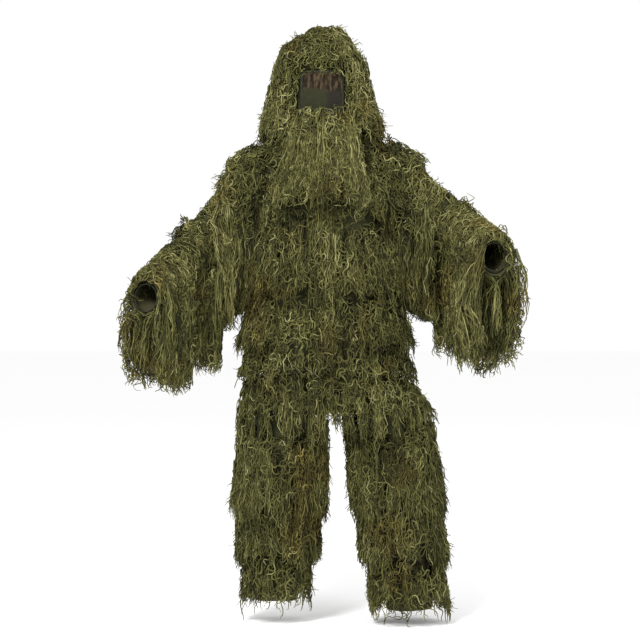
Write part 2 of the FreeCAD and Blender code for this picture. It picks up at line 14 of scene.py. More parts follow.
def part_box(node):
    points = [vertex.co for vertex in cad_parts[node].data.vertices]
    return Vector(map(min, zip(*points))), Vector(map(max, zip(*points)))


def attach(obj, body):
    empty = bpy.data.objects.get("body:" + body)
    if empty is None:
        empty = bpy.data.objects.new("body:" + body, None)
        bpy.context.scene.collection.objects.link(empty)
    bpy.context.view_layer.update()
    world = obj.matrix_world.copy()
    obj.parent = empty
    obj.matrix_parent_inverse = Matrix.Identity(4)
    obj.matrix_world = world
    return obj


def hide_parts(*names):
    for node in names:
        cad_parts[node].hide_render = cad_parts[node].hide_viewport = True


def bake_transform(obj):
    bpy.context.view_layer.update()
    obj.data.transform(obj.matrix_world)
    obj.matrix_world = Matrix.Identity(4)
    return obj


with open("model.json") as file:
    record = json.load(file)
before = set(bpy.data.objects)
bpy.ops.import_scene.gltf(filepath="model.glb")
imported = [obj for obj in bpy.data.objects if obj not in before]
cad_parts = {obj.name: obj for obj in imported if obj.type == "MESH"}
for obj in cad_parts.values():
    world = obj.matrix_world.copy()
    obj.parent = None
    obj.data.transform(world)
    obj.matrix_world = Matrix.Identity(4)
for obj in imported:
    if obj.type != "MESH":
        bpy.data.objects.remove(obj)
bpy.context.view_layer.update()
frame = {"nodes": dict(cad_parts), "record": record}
noise.seed_set(1)         # without it, noise_vector differs from run to run
BODIES = frame["record"]["behaviour"]["bodies"]
BODY_OF = {node: body for body, nodes in BODIES.items() for node in nodes}
SIDES = ("right", "left")

RINGS = 8                 # lengths that a thread is divided into
CORNERS = 3               # round a thread
COMB_STEPS = 9            # steps of a tuft's path
THREADS_IN_PIECE = 3800   # at most
CLOSE_WAVES = (0.04, 0.075)                   # the length of a wild thread's waves
WIDE_WAVES = (0.06, 0.13)                     # and of any other's
TUFT_TONES, THREAD_TONES, LOOSE_TONES = 0.09, 0.15, 0.17      # how much tones differ
TORN, LOOSE_TORN = 0.06, 0.03                 # a longer step means that a line jumped to another surface
# Patterns over the suit: how many to a metre, and a number that sets each apart.
LIFT_PATTERN, EDGE_PATTERN, BROAD_PATCHES, SMALL_PATCHES = (28, 1), (16, 2), (9, 3), (22, 4)
THREAD_RADIUS = 0.0017
LOWEST = -1.484           # no thread reaches below this
TURNED_DOWN = -0.6        # a face whose normal's z is below this hangs no thread
TURNED_UP = 0.55          # on a face whose normal's z is above this, threads are short
CLOTH_GAP = 0.006         # between a tuft and the cloth
HOLD = 45                 # how hard a tuft is drawn to its height over the surface, per metre off it
STEADY, PULLED = 0.45, 0.55                   # shares of the old heading and of the pull at each step
WILD_SIZE = 2.0           # a wild thread's waves, against any other's
DOWN = np.array([0.0, 0.0, -1.0])

# Each cloth piece as it was cut: width round the body, and length, in metres.
CUTS = {
    "jacket_back_panel": (0.520, 0.730), "jacket_front_left_panel": (0.260, 0.730),
    "jacket_front_right_panel": (0.260, 0.730), "collar_band": (0.480, 0.016),
    "placket_flap": (0.080, 0.650), "hood_shell": (0.700, 0.330), "chin_panel": (0.200, 0.250),
    "trousers_seat": (1.150, 0.480),
    "right_upper_sleeve": (0.440, 0.290), "left_upper_sleeve": (0.430, 0.270),
    "right_lower_sleeve": (0.360, 0.330), "left_lower_sleeve": (0.360, 0.360),
    "right_thigh": (0.550, 0.280), "left_thigh": (0.550, 0.280),
    "right_shin": (0.480, 0.310), "left_shin": (0.480, 0.340),
}
TRIMMINGS = ("collar_band", "placket_flap", "chin_panel")     # no thread has to stay clear of these


def seeded(name):
    return np.random.default_rng(zlib.crc32(name.encode()))


def unit(rows):
    return rows / np.maximum(np.linalg.norm(rows, axis=-1, keepdims=True), 1e-9)


# ---------------------------------------------------------------- surfaces that threads follow


def triangles_of(node):
    """Corner points of a CAD node's triangles, as an array (count, 3, 3)."""
    mesh = frame["nodes"][node].data
    mesh.calc_loop_triangles()
    points = np.empty(len(mesh.vertices) * 3)
    mesh.vertices.foreach_get("co", points)
    corners = np.empty(len(mesh.loop_triangles) * 3, np.int32)
    mesh.loop_triangles.foreach_get("vertices", corners)
    return points.reshape(-1, 3)[corners.reshape(-1, 3)]


def tree_of(triangles):
    points = triangles.reshape(-1, 3)
    return BVHTree.FromPolygons(points.tolist(), np.arange(len(points)).reshape(-1, 3).tolist())


TRIANGLES = {name: triangles_of(name) for name in frame["nodes"]}
BODY_TREES = {
    body: tree_of(np.concatenate([TRIANGLES[node] for node in nodes])) for body, nodes in BODIES.items()
}


def cross_of(triangles):
    return np.cross(triangles[:, 1] - triangles[:, 0], triangles[:, 2] - triangles[:, 0])


def outer_triangles(node, reach=0.3):
    """The node's triangles that face open air, not its own hollow or a neighbour on its body."""
    triangles = TRIANGLES[node]
    tree = BODY_TREES[BODY_OF[node]]
    normals = unit(cross_of(triangles))
    middles = triangles.mean(axis=1)
    keep = []
    for number, (middle, normal) in enumerate(zip(middles, normals)):
        if normal[2] < TURNED_DOWN:
            continue
        start = Vector(middle + normal * 0.0012)
        if tree.ray_cast(start, Vector(normal), reach)[0] is None:
            keep.append(number)
    return triangles[keep]


def level_ring(level, half_width, half_depth, x, y, count=40):
    """Points round a horizontal ellipse."""
    angle = 2 * math.pi * np.arange(count) / count
    return np.stack(
        [x + half_width * np.cos(angle), y + half_depth * np.sin(angle), np.full(count, level)], axis=1
    )


def upright_ring(x, y, level, half_height, half_width, heading, count=40):
    """Points round an upright ellipse across a sleeve that runs along the heading, in degrees."""
    angle = 2 * math.pi * np.arange(count) / count
    across = half_width * np.cos(angle)
    turn = math.radians(heading)
    return np.stack(
        [
            x - across * math.sin(turn),
            y + across * math.cos(turn),
            level + half_height * np.sin(angle),
        ],
        axis=1,
    )


def ruled(rings):
    """Triangles between each ring and the next, turned so that they face away from the middle."""
    found = []
    for first, second in zip(rings, rings[1:]):
        next_first, next_second = np.roll(first, -1, axis=0), np.roll(second, -1, axis=0)
        found.append(np.stack([first, next_first, second], axis=1))
        found.append(np.stack([next_first, next_second, second], axis=1))
    triangles = np.concatenate(found)
    middle = np.concatenate(rings).mean(axis=0)
    inward = np.einsum("ij,ij->i", cross_of(triangles), triangles.mean(axis=1) - middle) < 0
    triangles[inward] = triangles[inward][:, ::-1]
    return triangles


def outward_triangles(node):
    """A panel's triangles that face away from its own hollow."""
    triangles = TRIANGLES[node]
    tree = tree_of(triangles)
    normals = unit(cross_of(triangles))
    starts = triangles.mean(axis=1) + normals * 0.0005
    outward = [
        tree.ray_cast(Vector(start), Vector(normal), 0.6)[0] is None
        for start, normal in zip(starts, normals)
    ]
    return triangles[np.array(outward)]


def cloth_trees():
    """For each body, a tree of the outside of its cloth."""
    found = {}
    for body, nodes in BODIES.items():
        panels = [outward_triangles(node) for node in nodes if node in CUTS and node not in TRIMMINGS]
        if panels:
            found[body] = tree_of(np.concatenate(panels))
    return found


CLOTH_TREES = cloth_trees()


def clear_of_cloth(points, bodies, margins, reach=0.09):
    """The points, with those that would be inside the bodies' cloth moved to margins outside it."""
    flat = points.reshape(-1, 3).copy()
    margins = np.broadcast_to(margins, points.shape[:-1]).ravel()
    for body in bodies:
        tree = CLOTH_TREES.get(body)
        if tree is None:
            continue
        for index, point in enumerate(flat):
            near, normal, _, distance = tree.find_nearest(Vector(point), reach)
            if near is None:
                continue
            height = (Vector(point) - near).dot(normal)
            if height < margins[index] and distance < abs(height) + 0.02:
                flat[index] = near + normal * float(margins[index])
    return flat.reshape(points.shape)


# ---------------------------------------------------------------- how the threads grow


def scatter(triangles, density, rng, top_bias):
    """Points spread over the triangles, with their normals, more of them near the top."""
    doubled = np.linalg.norm(cross_of(triangles), axis=1)
    count = max(12, int(doubled.sum() / 2 * density))
    pick = rng.choice(len(triangles), size=count * 3, p=doubled / doubled.sum())
    first, second = rng.random((2, len(pick)))
    flip = first + second > 1
    first[flip], second[flip] = 1 - first[flip], 1 - second[flip]
    chosen = triangles[pick]
    points = (
        chosen[:, 0]
        + first[:, None] * (chosen[:, 1] - chosen[:, 0])
        + second[:, None] * (chosen[:, 2] - chosen[:, 0])
    )
    low, high = triangles[..., 2].min(), triangles[..., 2].max()
    share = (points[:, 2] - low) / (high - low)
    keep = rng.random(len(points)) < (1 + top_bias * share) / (1 + top_bias)
    return points[keep][:count], unit(cross_of(triangles))[pick][keep][:count]


def broad(points, scale, seed):
    """A smooth value from -1 to 1 at each point, the same for threads that are near each other."""
    shift = Vector((seed * 7.1, seed * 3.7, seed * 1.3))
    return np.array([noise.noise(Vector(point) * scale + shift) for point in points]) * 1.6


def comb(triangles, roots, normals, lengths, rng, style):
    """The path of each tuft: along the surface under gravity, then free below its edge."""
    tree = tree_of(triangles)
    floor = triangles[..., 2].min()
    count = len(roots)
    point = roots - normals * style["depth"]
    wander = unit(rng.normal(size=(count, 3))) * style["tousle"]
    heading = unit(normals * style["rise"] + DOWN + wander + rng.normal(scale=0.16, size=(count, 3)))
    height = np.interp(broad(roots, *LIFT_PATTERN), [-0.7, 0.7], style["lift"])
    path = [point]
    step = (lengths / COMB_STEPS)[:, None]
    for number in range(COMB_STEPS):
        share = (number + 1) / COMB_STEPS
        pull = np.tile(DOWN, (count, 1)) + wander * (1 - share)
        for index in np.flatnonzero(point[:, 2] > floor):
            near, normal, _, _ = tree.find_nearest(Vector(point[index]))
            normal = np.array(normal)
            above = float((point[index] - np.array(near)) @ normal)
            along = pull[index] - normal * (pull[index] @ normal)
            want = height[index] * share - style["depth"] * (1 - share)
            pull[index] = unit(along + 1e-6) + normal * np.clip((want - above) * HOLD, -0.8, 0.7)
        heading = unit(heading * STEADY + unit(pull) * PULLED)
        point = point + heading * step
        path.append(point)
    return np.stack(path, axis=1)


def square_to(lines, rng):
    """Two directions square to each line and to each other, turned at random."""
    tangent = unit(np.gradient(lines, axis=1))
    side = unit(np.cross(tangent, rng.normal(size=(len(lines), 1, 3)) + 0 * tangent))
    return side, np.cross(tangent, side)


def along_path(path, share):
    """Points at the given shares of each path; share is (paths, samples)."""
    position = np.clip(share, 0, 1) * (path.shape[1] - 1)
    low = np.minimum(position.astype(int), path.shape[1] - 2)
    rest = (position - low)[..., None]
    rows = np.arange(len(path))[:, None]
    return path[rows, low] * (1 - rest) + path[rows, low + 1] * rest


def hanging_lines(path, lengths, style, rng):
    """Centre lines of the single threads of each tuft: spread, waves and a curled end."""
    many = style["threads"]
    path = np.repeat(path, many, axis=0)
    length = np.repeat(lengths, many)
    count = len(path)
    share = np.linspace(0, 1, RINGS + 1)[None, :]
    cut = rng.uniform(style["shortest"], 1.0, size=count)[:, None]
    line = along_path(path, share * cut)
    side, other = square_to(line, rng)
    spread = style["spread"] * np.sqrt(rng.random(count))[:, None]
    angle = rng.uniform(0, 2 * math.pi, size=count)[:, None]
    fan = spread * (0.4 + 0.6 * np.sin(math.pi * np.minimum(share * 0.85, 1)))
    run = share * length[:, None] * cut
    wild = (rng.random(count) < style["wild"])[:, None]
    wave = np.where(wild, rng.uniform(*CLOSE_WAVES, (count, 1)), rng.uniform(*WIDE_WAVES, (count, 1)))
    size = rng.uniform(0.5, 1.3, size=(2, count))[:, :, None] * style["wave"]
    size = size * np.where(wild, WILD_SIZE, 1.0)
    phase = rng.uniform(0, 2 * math.pi, size=(4, count))[:, :, None]
    swelling = np.minimum(share * 3.5, 1)
    sway, roll = (
        swelling * size[number] * (
            np.sin(2 * math.pi * run / wave + phase[2 * number])
            + 0.45 * np.sin(4.4 * math.pi * run / wave + phase[2 * number + 1])
        )
        for number in (0, 1)
    )
    tip = np.maximum(share - 0.7, 0) / 0.3
    hook = rng.normal(scale=style["curl"], size=(2, count))[:, :, None] * tip**1.5
    line = line + side * (fan * np.cos(angle) + sway + hook[0])[..., None]
    line = line + other * (fan * np.sin(angle) + roll + hook[1])[..., None]
    line[..., 2] += (np.abs(hook[0]) + np.abs(hook[1])) * 0.5 * tip
    return line


def tangled_lines(triangles, points, normals, style, rng):
    """Centre lines of short loose threads that wind about over the surface."""
    count = len(points)
    length = rng.uniform(*style["loose_length"], size=count)
    step = (length / RINGS)[:, None]
    flat_down = unit(DOWN - normals * (normals @ DOWN)[:, None] + rng.normal(scale=0.1, size=(count, 3)))
    across = np.cross(normals, flat_down)
    turn = rng.normal(scale=0.9, size=(count, 1))
    swing = rng.uniform(0.6, 1.9, size=(count, 1))
    wave = rng.uniform(0.035, 0.08, size=(count, 1))
    bend = rng.normal(scale=14, size=(count, 1))
    phase = rng.uniform(0, 2 * math.pi, size=(2, count, 1))
    share = np.linspace(0, 1, RINGS + 1)[None, :]
    run = share * length[:, None]
    angle = turn + swing * np.sin(2 * math.pi * run / wave + phase[0]) + bend * run
    forward = np.cumsum(np.cos(angle), axis=1) * step - 0.3 * length[:, None]
    sideways = np.cumsum(np.sin(angle), axis=1) * step
    bow = 0.004 * np.sin(2 * math.pi * run / (wave * 1.3) + phase[1])
    lift = np.interp(rng.random(count), [0, 1], style["loose_lift"])[:, None]
    line = points[:, None] + flat_down[:, None] * forward[..., None] + across[:, None] * sideways[..., None]
    line[..., 2] -= 0.18 * (share * length[:, None])
    return laid_on(triangles, line, lift + bow)


def laid_on(triangles, lines, heights, most=0.75):
    """The lines moved most of the way to the given heights over the surface."""
    tree = tree_of(triangles)
    flat = lines.reshape(-1, 3)
    for index, height in enumerate(heights.ravel()):
        point = Vector(flat[index])
        near, normal, _, _ = tree.find_nearest(point)
        flat[index] += np.array(normal) * (float(height) - (point - near).dot(normal)) * most
    return flat.reshape(lines.shape)


def unbroken(lines, longest):
    """Which lines have no step longer than the given length."""
    return (np.linalg.norm(np.diff(lines, axis=1), axis=2) < longest).all(axis=1)


def thread_mesh(name, line, tone, root_shade, rng):
    """One mesh of closed, tapered tubes along the centre lines, with tone and along attributes; along also
    carries the painted shade at the root.
    """
    count = len(line)
    line[..., 2] = np.maximum(line[..., 2], LOWEST)
    side, other = square_to(line, rng)
    share = np.linspace(0, 1, RINGS + 1)
    thick = rng.uniform(0.75, 1.25, size=count)[:, None] * THREAD_RADIUS
    radius = thick * np.interp(share, [0, 0.08, 0.8, 1], [0.6, 1, 0.85, 0.4])[None, :]
    angles = (2 * math.pi * np.arange(CORNERS) / CORNERS)[None, None, :, None]
    ring = line[:, :, None] + radius[..., None, None] * (
        side[:, :, None] * np.cos(angles) + other[:, :, None] * np.sin(angles)
    )
    per = (RINGS + 1) * CORNERS
    base = (np.arange(count) * per)[:, None, None]
    row = (np.arange(RINGS) * CORNERS)[None, :, None]
    corner = np.arange(CORNERS)[None, None, :]
    after = (corner + 1) % CORNERS
    low, high = base + row, base + row + CORNERS
    quads = np.stack([low + corner, low + after, high + after, high + corner], axis=-1).reshape(-1)
    first = (base[:, :, 0] + np.arange(CORNERS)[None, ::-1]).reshape(-1)
    last = (base[:, :, 0] + RINGS * CORNERS + np.arange(CORNERS)[None, :]).reshape(-1)
    loops = np.concatenate([quads, first, last]).astype(np.int32)
    sizes = np.concatenate([np.full(len(quads) // 4, 4), np.full(2 * count, CORNERS)])
    starts = np.concatenate([[0], np.cumsum(sizes)[:-1]]).astype(np.int32)

    mesh = bpy.data.meshes.new(name)
    mesh.vertices.add(count * per)
    mesh.vertices.foreach_set("co", ring.astype(np.float32).ravel())
    mesh.loops.add(len(loops))
    mesh.loops.foreach_set("vertex_index", loops)
    mesh.polygons.add(len(sizes))
    mesh.polygons.foreach_set("loop_start", starts)
    mesh.update(calc_edges=True)
    # The along attribute also sets the painted shade at each thread's root.
    for label, values in (
        ("tone", np.repeat(tone, per)),
        ("along", np.repeat(root_shade[:, None] + (1 - root_shade[:, None]) * share, CORNERS)),
    ):
        layer = mesh.attributes.new(label, "FLOAT", "POINT")
        layer.data.foreach_set("value", values.astype(np.float32))
    lay_out_threads(mesh, loops, count, per)
    mesh.polygons.foreach_set("use_smooth", np.ones(len(sizes), bool))
    return mesh


def lay_out_threads(mesh, loops, count, per):
    """Gives each thread a cell of its own in a new UV map, OFBake."""
    layer = mesh.uv_layers.new(name="OFBake")
    across = int(math.ceil(math.sqrt(count)))
    thread = loops // per
    ring = (loops % per) // CORNERS
    corner = loops % CORNERS
    left = (thread % across + 0.1 + 0.8 * corner / (CORNERS - 1)) / across
    up = (thread // across + 0.1 + 0.8 * ring / RINGS) / across
    layer.data.foreach_set("uv", np.stack([left, up], axis=1).astype(np.float32).ravel())


# ---------------------------------------------------------------- materials


def new_material(name, roughness, specular=0.25):
    material = bpy.data.materials.new(name)
    material.use_nodes = True
    shader = material.node_tree.nodes["Principled BSDF"]
    shader.inputs["Roughness"].default_value = roughness
    shader.inputs["Specular IOR Level"].default_value = specular
    return material, material.node_tree.nodes, material.node_tree.links, shader


def ramp_node(nodes, stops):
    """A colour ramp through the stops, each a place and a colour or a grey."""
    ramp = nodes.new("ShaderNodeValToRGB")
    while len(ramp.color_ramp.elements) > 1:
        ramp.color_ramp.elements.remove(ramp.color_ramp.elements[-1])
    for number, (place, colour) in enumerate(stops):
        stop = ramp.color_ramp.elements[0] if number == 0 else ramp.color_ramp.elements.new(place)
        stop.position = place
        stop.color = (*colour, 1) if hasattr(colour, "__len__") else (colour, colour, colour, 1)
    return ramp


def object_place(nodes):
    return nodes.new("ShaderNodeTexCoord").outputs["Object"]


def noise_node(nodes, links, place, scale, detail=2.0):
    texture = nodes.new("ShaderNodeTexNoise")
    texture.inputs["Scale"].default_value = scale
    texture.inputs["Detail"].default_value = detail
    links.new(place, texture.inputs["Vector"])
    return texture.outputs["Fac"]


def bands_node(nodes, links, place, direction, scale, distortion=0.0):
    """Even bands across the direction, as of yarns or ribs."""
    wave = nodes.new("ShaderNodeTexWave")
    wave.bands_direction = direction
    wave.inputs["Scale"].default_value = scale
    wave.inputs["Distortion"].default_value = distortion
    links.new(place, wave.inputs["Vector"])
    return wave.outputs["Color"]


def mixed(nodes, links, kind, factor, first, second):
    """A colour mix node; each of factor, first and second is a socket or a plain value."""
    mix = nodes.new("ShaderNodeMix")
    mix.data_type = "RGBA"
    mix.blend_type = kind
    for socket, value in (("Factor", factor), ("A", first), ("B", second)):
        if isinstance(value, bpy.types.NodeSocket):
            links.new(value, mix.inputs[socket])
        else:
            mix.inputs[socket].default_value = value
    return mix.outputs["Result"]


def scaled(nodes, links, socket, factor, added):
    """The socket's value times the factor, plus a value or another socket's value."""
    sum_node = nodes.new("ShaderNodeMath")
    sum_node.operation = "MULTIPLY_ADD"
    links.new(socket, sum_node.inputs[0])
    sum_node.inputs[1].default_value = factor
    if isinstance(added, bpy.types.NodeSocket):
        links.new(added, sum_node.inputs[2])
    else:
        sum_node.inputs[2].default_value = added
    return sum_node.outputs["Value"]


def between(nodes, links, socket, low, high):
    """From 0 where the socket's value is low to 1 where it is high."""
    step = nodes.new("ShaderNodeMapRange")
    step.inputs["From Min"].default_value = low
    step.inputs["From Max"].default_value = high
    links.new(socket, step.inputs["Value"])
    return step.outputs["Result"]


def bump_node(nodes, links, height, strength, distance):
    bump = nodes.new("ShaderNodeBump")
    bump.inputs["Strength"].default_value = strength
    bump.inputs["Distance"].default_value = distance
    links.new(height, bump.inputs["Height"])
    return bump.outputs["Normal"]


def thread_material():
    """Dyed thread: each thread has its own tone, with brown patches, and painted shade darkens it at the
    root.
    """
    material, nodes, links, shader = new_material("dyed_thread", 0.9, 0.15)
    tone = nodes.new("ShaderNodeAttribute")
    tone.attribute_name = "tone"
    along = nodes.new("ShaderNodeAttribute")
    along.attribute_name = "along"
    dye = ramp_node(
        nodes,
        [
            (0.0, (0.009, 0.009, 0.003)),
            (0.25, (0.028, 0.027, 0.009)),
            (0.5, (0.070, 0.068, 0.020)),
            (0.75, (0.140, 0.137, 0.042)),
            (1.0, (0.300, 0.285, 0.120)),
        ],
    )
    place = object_place(nodes)
    uneven = scaled(nodes, links, noise_node(nodes, links, place, 45.0, 2.0), 0.55, tone.outputs["Fac"])
    links.new(scaled(nodes, links, uneven, 1.0, -0.275), dye.inputs["Fac"])
    patches = ramp_node(nodes, [(0.55, 0.0), (0.68, 1.0)])
    links.new(noise_node(nodes, links, place, 7.0, 3.0), patches.inputs["Fac"])
    coloured = mixed(
        nodes, links, "MULTIPLY", patches.outputs["Color"], dye.outputs["Color"], (0.95, 0.80, 0.66, 1)
    )
    # Painted shade: the root, buried under the threads over it, is darkened.
    root_shade = ramp_node(nodes, [(0.0, 0.12), (0.25, 0.42), (0.5, 0.85), (1.0, 1.0)])
    links.new(along.outputs["Fac"], root_shade.inputs["Fac"])
    shaded = mixed(nodes, links, "MULTIPLY", 1.0, coloured, root_shade.outputs["Color"])
    links.new(shaded, shader.inputs["Base Color"])
    fuzz = noise_node(nodes, links, place, 900.0, 1.0)
    links.new(bump_node(nodes, links, fuzz, 0.35, 0.001), shader.inputs["Normal"])
    return material


def cloth_material():
    """Thin dark olive cloth with a plain weave and faint mottling."""
    material, nodes, links, shader = new_material("base_cloth", 0.92, 0.12)
    place = object_place(nodes)
    mottle = ramp_node(
        nodes, [(0.35, (0.022, 0.024, 0.010)), (0.5, (0.036, 0.037, 0.016)), (0.65, (0.050, 0.043, 0.021))]
    )
    links.new(noise_node(nodes, links, place, 16.0, 3.0), mottle.inputs["Fac"])
    links.new(mottle.outputs["Color"], shader.inputs["Base Color"])
    warp, weft = (bands_node(nodes, links, place, direction, 330.0, 0.4) for direction in ("X", "Z"))
    weave = mixed(nodes, links, "MULTIPLY", 1.0, warp, weft)
    links.new(bump_node(nodes, links, weave, 0.5, 0.0008), shader.inputs["Normal"])
    return material


def screen_material():
    """The face screen's knitted mesh, printed with brown blots above and green and grey below."""
    material, nodes, links, shader = new_material("screen_mesh", 0.75, 0.2)
    place = object_place(nodes)
    split = nodes.new("ShaderNodeSeparateXYZ")
    links.new(place, split.inputs["Vector"])
    blots = noise_node(nodes, links, place, 42.0, 2.0)
    height = scaled(nodes, links, blots, 0.035, split.outputs["Z"])
    upper = between(nodes, links, height, 0.161, 0.166)
    sideways = between(nodes, links, split.outputs["X"], 0.000, 0.012)
    low = mixed(nodes, links, "MIX", sideways, (0.037, 0.038, 0.0175, 1), (0.029, 0.024, 0.018, 1))
    browns = ramp_node(
        nodes, [(0.40, (0.018, 0.013, 0.008)), (0.50, (0.054, 0.034, 0.018)), (0.62, (0.105, 0.075, 0.043))]
    )
    stretched = nodes.new("ShaderNodeMapping")
    stretched.inputs["Scale"].default_value = (2.4, 1.0, 0.6)
    links.new(place, stretched.inputs["Vector"])
    links.new(noise_node(nodes, links, stretched.outputs["Vector"], 60.0, 2.0), browns.inputs["Fac"])
    colour = mixed(nodes, links, "MIX", upper, low, browns.outputs["Color"])
    links.new(colour, shader.inputs["Base Color"])
    fuzz = noise_node(nodes, links, place, 700.0, 1.0)
    links.new(bump_node(nodes, links, fuzz, 0.4, 0.0006), shader.inputs["Normal"])
    return material


def webbing_material(name, colour):
    """Tape or elastic: close ribs across its width."""
    material, nodes, links, shader = new_material(name, 0.8, 0.2)
    place = object_place(nodes)
    worn = ramp_node(nodes, [(0.3, [c * 0.6 for c in colour]), (0.7, colour)])
    links.new(noise_node(nodes, links, place, 60.0, 3.0), worn.inputs["Fac"])
    links.new(worn.outputs["Color"], shader.inputs["Base Color"])
    ribs = bands_node(nodes, links, place, "Z", 180.0)
    links.new(bump_node(nodes, links, ribs, 0.5, 0.001), shader.inputs["Normal"])
    return material


def brass_material():
    """Dulled brass of the snap fasteners."""
    material, nodes, links, shader = new_material("dull_brass", 0.42, 0.5)
    shader.inputs["Metallic"].default_value = 1.0
    place = object_place(nodes)
    tarnish = ramp_node(nodes, [(0.35, (0.16, 0.11, 0.05)), (0.65, (0.36, 0.26, 0.12))])
    links.new(noise_node(nodes, links, place, 300.0, 3.0), tarnish.inputs["Fac"])
    links.new(tarnish.outputs["Color"], shader.inputs["Base Color"])
    return material


THREAD = thread_material()
CLOTH = cloth_material()
SCREEN = screen_material()
TAPE = webbing_material("binding_tape", (0.022, 0.022, 0.012))
ELASTIC = webbing_material("elastic_webbing", (0.030, 0.030, 0.018))
STITCH = webbing_material("stitching", (0.105, 0.100, 0.053))
BRASS = brass_material()


def add_piece(name, mesh, material, body=None, blend=None, nodes=()):
    """Links a mesh into the scene, attaches it to its body unless it blends between two, and hides the
    nodes that it stands for.
    """
    mesh.materials.append(material)
    piece = bpy.data.objects.new(name, mesh)
    bpy.context.collection.objects.link(piece)
    if blend:
        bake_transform(piece)
    else:
        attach(piece, body)
    if nodes:
        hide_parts(*nodes)
    return piece


# ---------------------------------------------------------------- fringe

# tufts and loose: how many for each square metre. threads: in a tuft. spread, wave and curl: metres.
# shortest: a cut thread's share of its tuft. depth: of the roots. lift: how far from the surface the
# ends lie. over: how far past the lower edge they hang. ragged: how uneven that edge is. least, most
# and crest: lengths, the last of threads on a face that looks up. tousle: how far they stray from
# gravity. rise: how they leave the surface. top_bias: how much denser at the top. tone: how light the
# thread is. root_shade: how little painted shade darkens its root, from 0 for the darkest. wild: share
# of threads with close waves. loose_band: the share of the height that loose threads cover.
# recess_shade: how much painted shade darkens the hollow under the curtain. above: no root is lower.
# floor: the level to hang to, along x.
PLAIN = {
    "tufts": 1300, "threads": 9, "spread": 0.012, "wave": 0.0035, "curl": 0.007, "shortest": 0.68,
    "depth": 0.024, "lift": (-0.016, 0.004), "over": (0.005, 0.035), "ragged": 0.034, "least": 0.09,
    "most": 0.24, "crest": 0.11, "tousle": 0.12, "rise": 0.2, "top_bias": 1.2, "tone": 0.50, "root_shade": 0.0,
    "wild": 0.35, "loose": 5200, "loose_length": (0.03, 0.08), "loose_lift": (-0.018, 0.0),
    "loose_band": (0.0, 0.85), "recess_shade": 0.0, "above": -math.inf,
}
TOUSLED = dict(
    PLAIN, tousle=0.6, wave=0.005, wild=0.6, least=0.08, most=0.18, tone=0.53, loose=12000,
    loose_band=(0.0, 1.0), loose_lift=(-0.016, 0.010), lift=(-0.022, 0.012),
)
# Painted light: the crown and the chin curtain are given lighter tones than the body, for the brighter
# light that falls on the top of the suit.
CROWN = dict(
    TOUSLED, tufts=1900, tousle=1.2, least=0.06, most=0.12, over=(0.01, 0.04), tone=0.57, loose=16000,
    loose_lift=(-0.014, 0.010), lift=(-0.028, 0.022),
)
CURTAIN = dict(
    PLAIN, tufts=2300, wave=0.003, curl=0.009, least=0.14, most=0.30, tousle=0.05, tone=0.55, top_bias=5,
    over=(-0.01, 0.02), wild=0.25, loose=9000, loose_band=(0.0, 1.0), loose_lift=(-0.012, 0.004),
    depth=0.012, root_shade=0.35, ragged=0.05,
)
BROW = dict(
    CROWN, tufts=5200, tousle=0.4, least=0.015, most=0.026, over=(-0.03, -0.02), loose=5000,
    loose_length=(0.02, 0.04), above=0.193,
)
SLEEVE = dict(
    PLAIN, tufts=1600, top_bias=0.3, root_shade=0.3, depth=0.018, lift=(-0.018, 0.002), tousle=0.35, most=0.28,
    over=(-0.03, 0.01), rise=0.0, wild=0.4, curl=0.005, loose=17000, loose_length=(0.03, 0.07),
    loose_lift=(-0.012, 0.005), loose_band=(0.0, 1.0), tone=0.54,
)
# The levels that some fringes hang to, along x: the sleeves' drapes step up towards their outer
# side, and the yoke is short behind the chin curtain.
SLEEVE_FLOORS = {
    "right": ((-0.60, -0.575, -0.56, -0.50, -0.49, -0.40, -0.385, -0.30),
              (-0.64, -0.645, -0.715, -0.725, -0.755, -0.755, -0.685, -0.68)),
    "left": ((0.33, 0.41, 0.43, 0.475, 0.49, 0.60), (-0.62, -0.63, -0.675, -0.675, -0.63, -0.62)),
}
YOKE_FLOOR = ((-0.18, -0.11, -0.06, 0.05, 0.10, 0.18), (-0.235, -0.225, -0.178, -0.178, -0.225, -0.235))


# The style of each fringe whose name holds the word; the first that fits counts.
STYLES = {
    "crown": CROWN,
    "brow": BROW,
    "curtain": CURTAIN,
    # Painted light: the hood's lighter tone stands in for the brighter light on the top of the suit.
    "hood": dict(TOUSLED, tone=0.57, over=(0.02, 0.06), lift=(-0.014, 0.024), loose_lift=(-0.008, 0.018)),
    # Painted shade darkens the yoke and chest threads in the hollow under the chin curtain.
    "yoke_fringe_front": dict(TOUSLED, floor=YOKE_FLOOR, over=(-0.01, 0.02), tone=0.50, recess_shade=0.30),
    "chest_fringe_front": dict(PLAIN, root_shade=0.3, recess_shade=0.30),
    "shoulder": TOUSLED,
    "yoke": TOUSLED,
    "right_upper_sleeve": dict(SLEEVE, floor=SLEEVE_FLOORS["right"]),
    "right_lower_sleeve": dict(SLEEVE, floor=SLEEVE_FLOORS["right"]),
    "left_upper_sleeve": dict(SLEEVE, floor=SLEEVE_FLOORS["left"]),
    "left_lower_sleeve": dict(SLEEVE, floor=SLEEVE_FLOORS["left"]),
    "hip": dict(PLAIN, over=(0.04, 0.11), root_shade=0.3, ragged=0.055),
    "thigh": dict(PLAIN, over=(0.05, 0.08), top_bias=3, root_shade=0.35),
    "shin": dict(PLAIN, over=(0.03, 0.06), top_bias=2, root_shade=0.35),
    "ankle": dict(PLAIN, over=(-0.03, 0.01)),
    "": dict(PLAIN, root_shade=0.3),
}


def style_of(node):
    return next(style for word, style in STYLES.items() if word in node)


DENSITY = {"back": 0.78, "front": 0.92}       # share of a style's threads that are grown


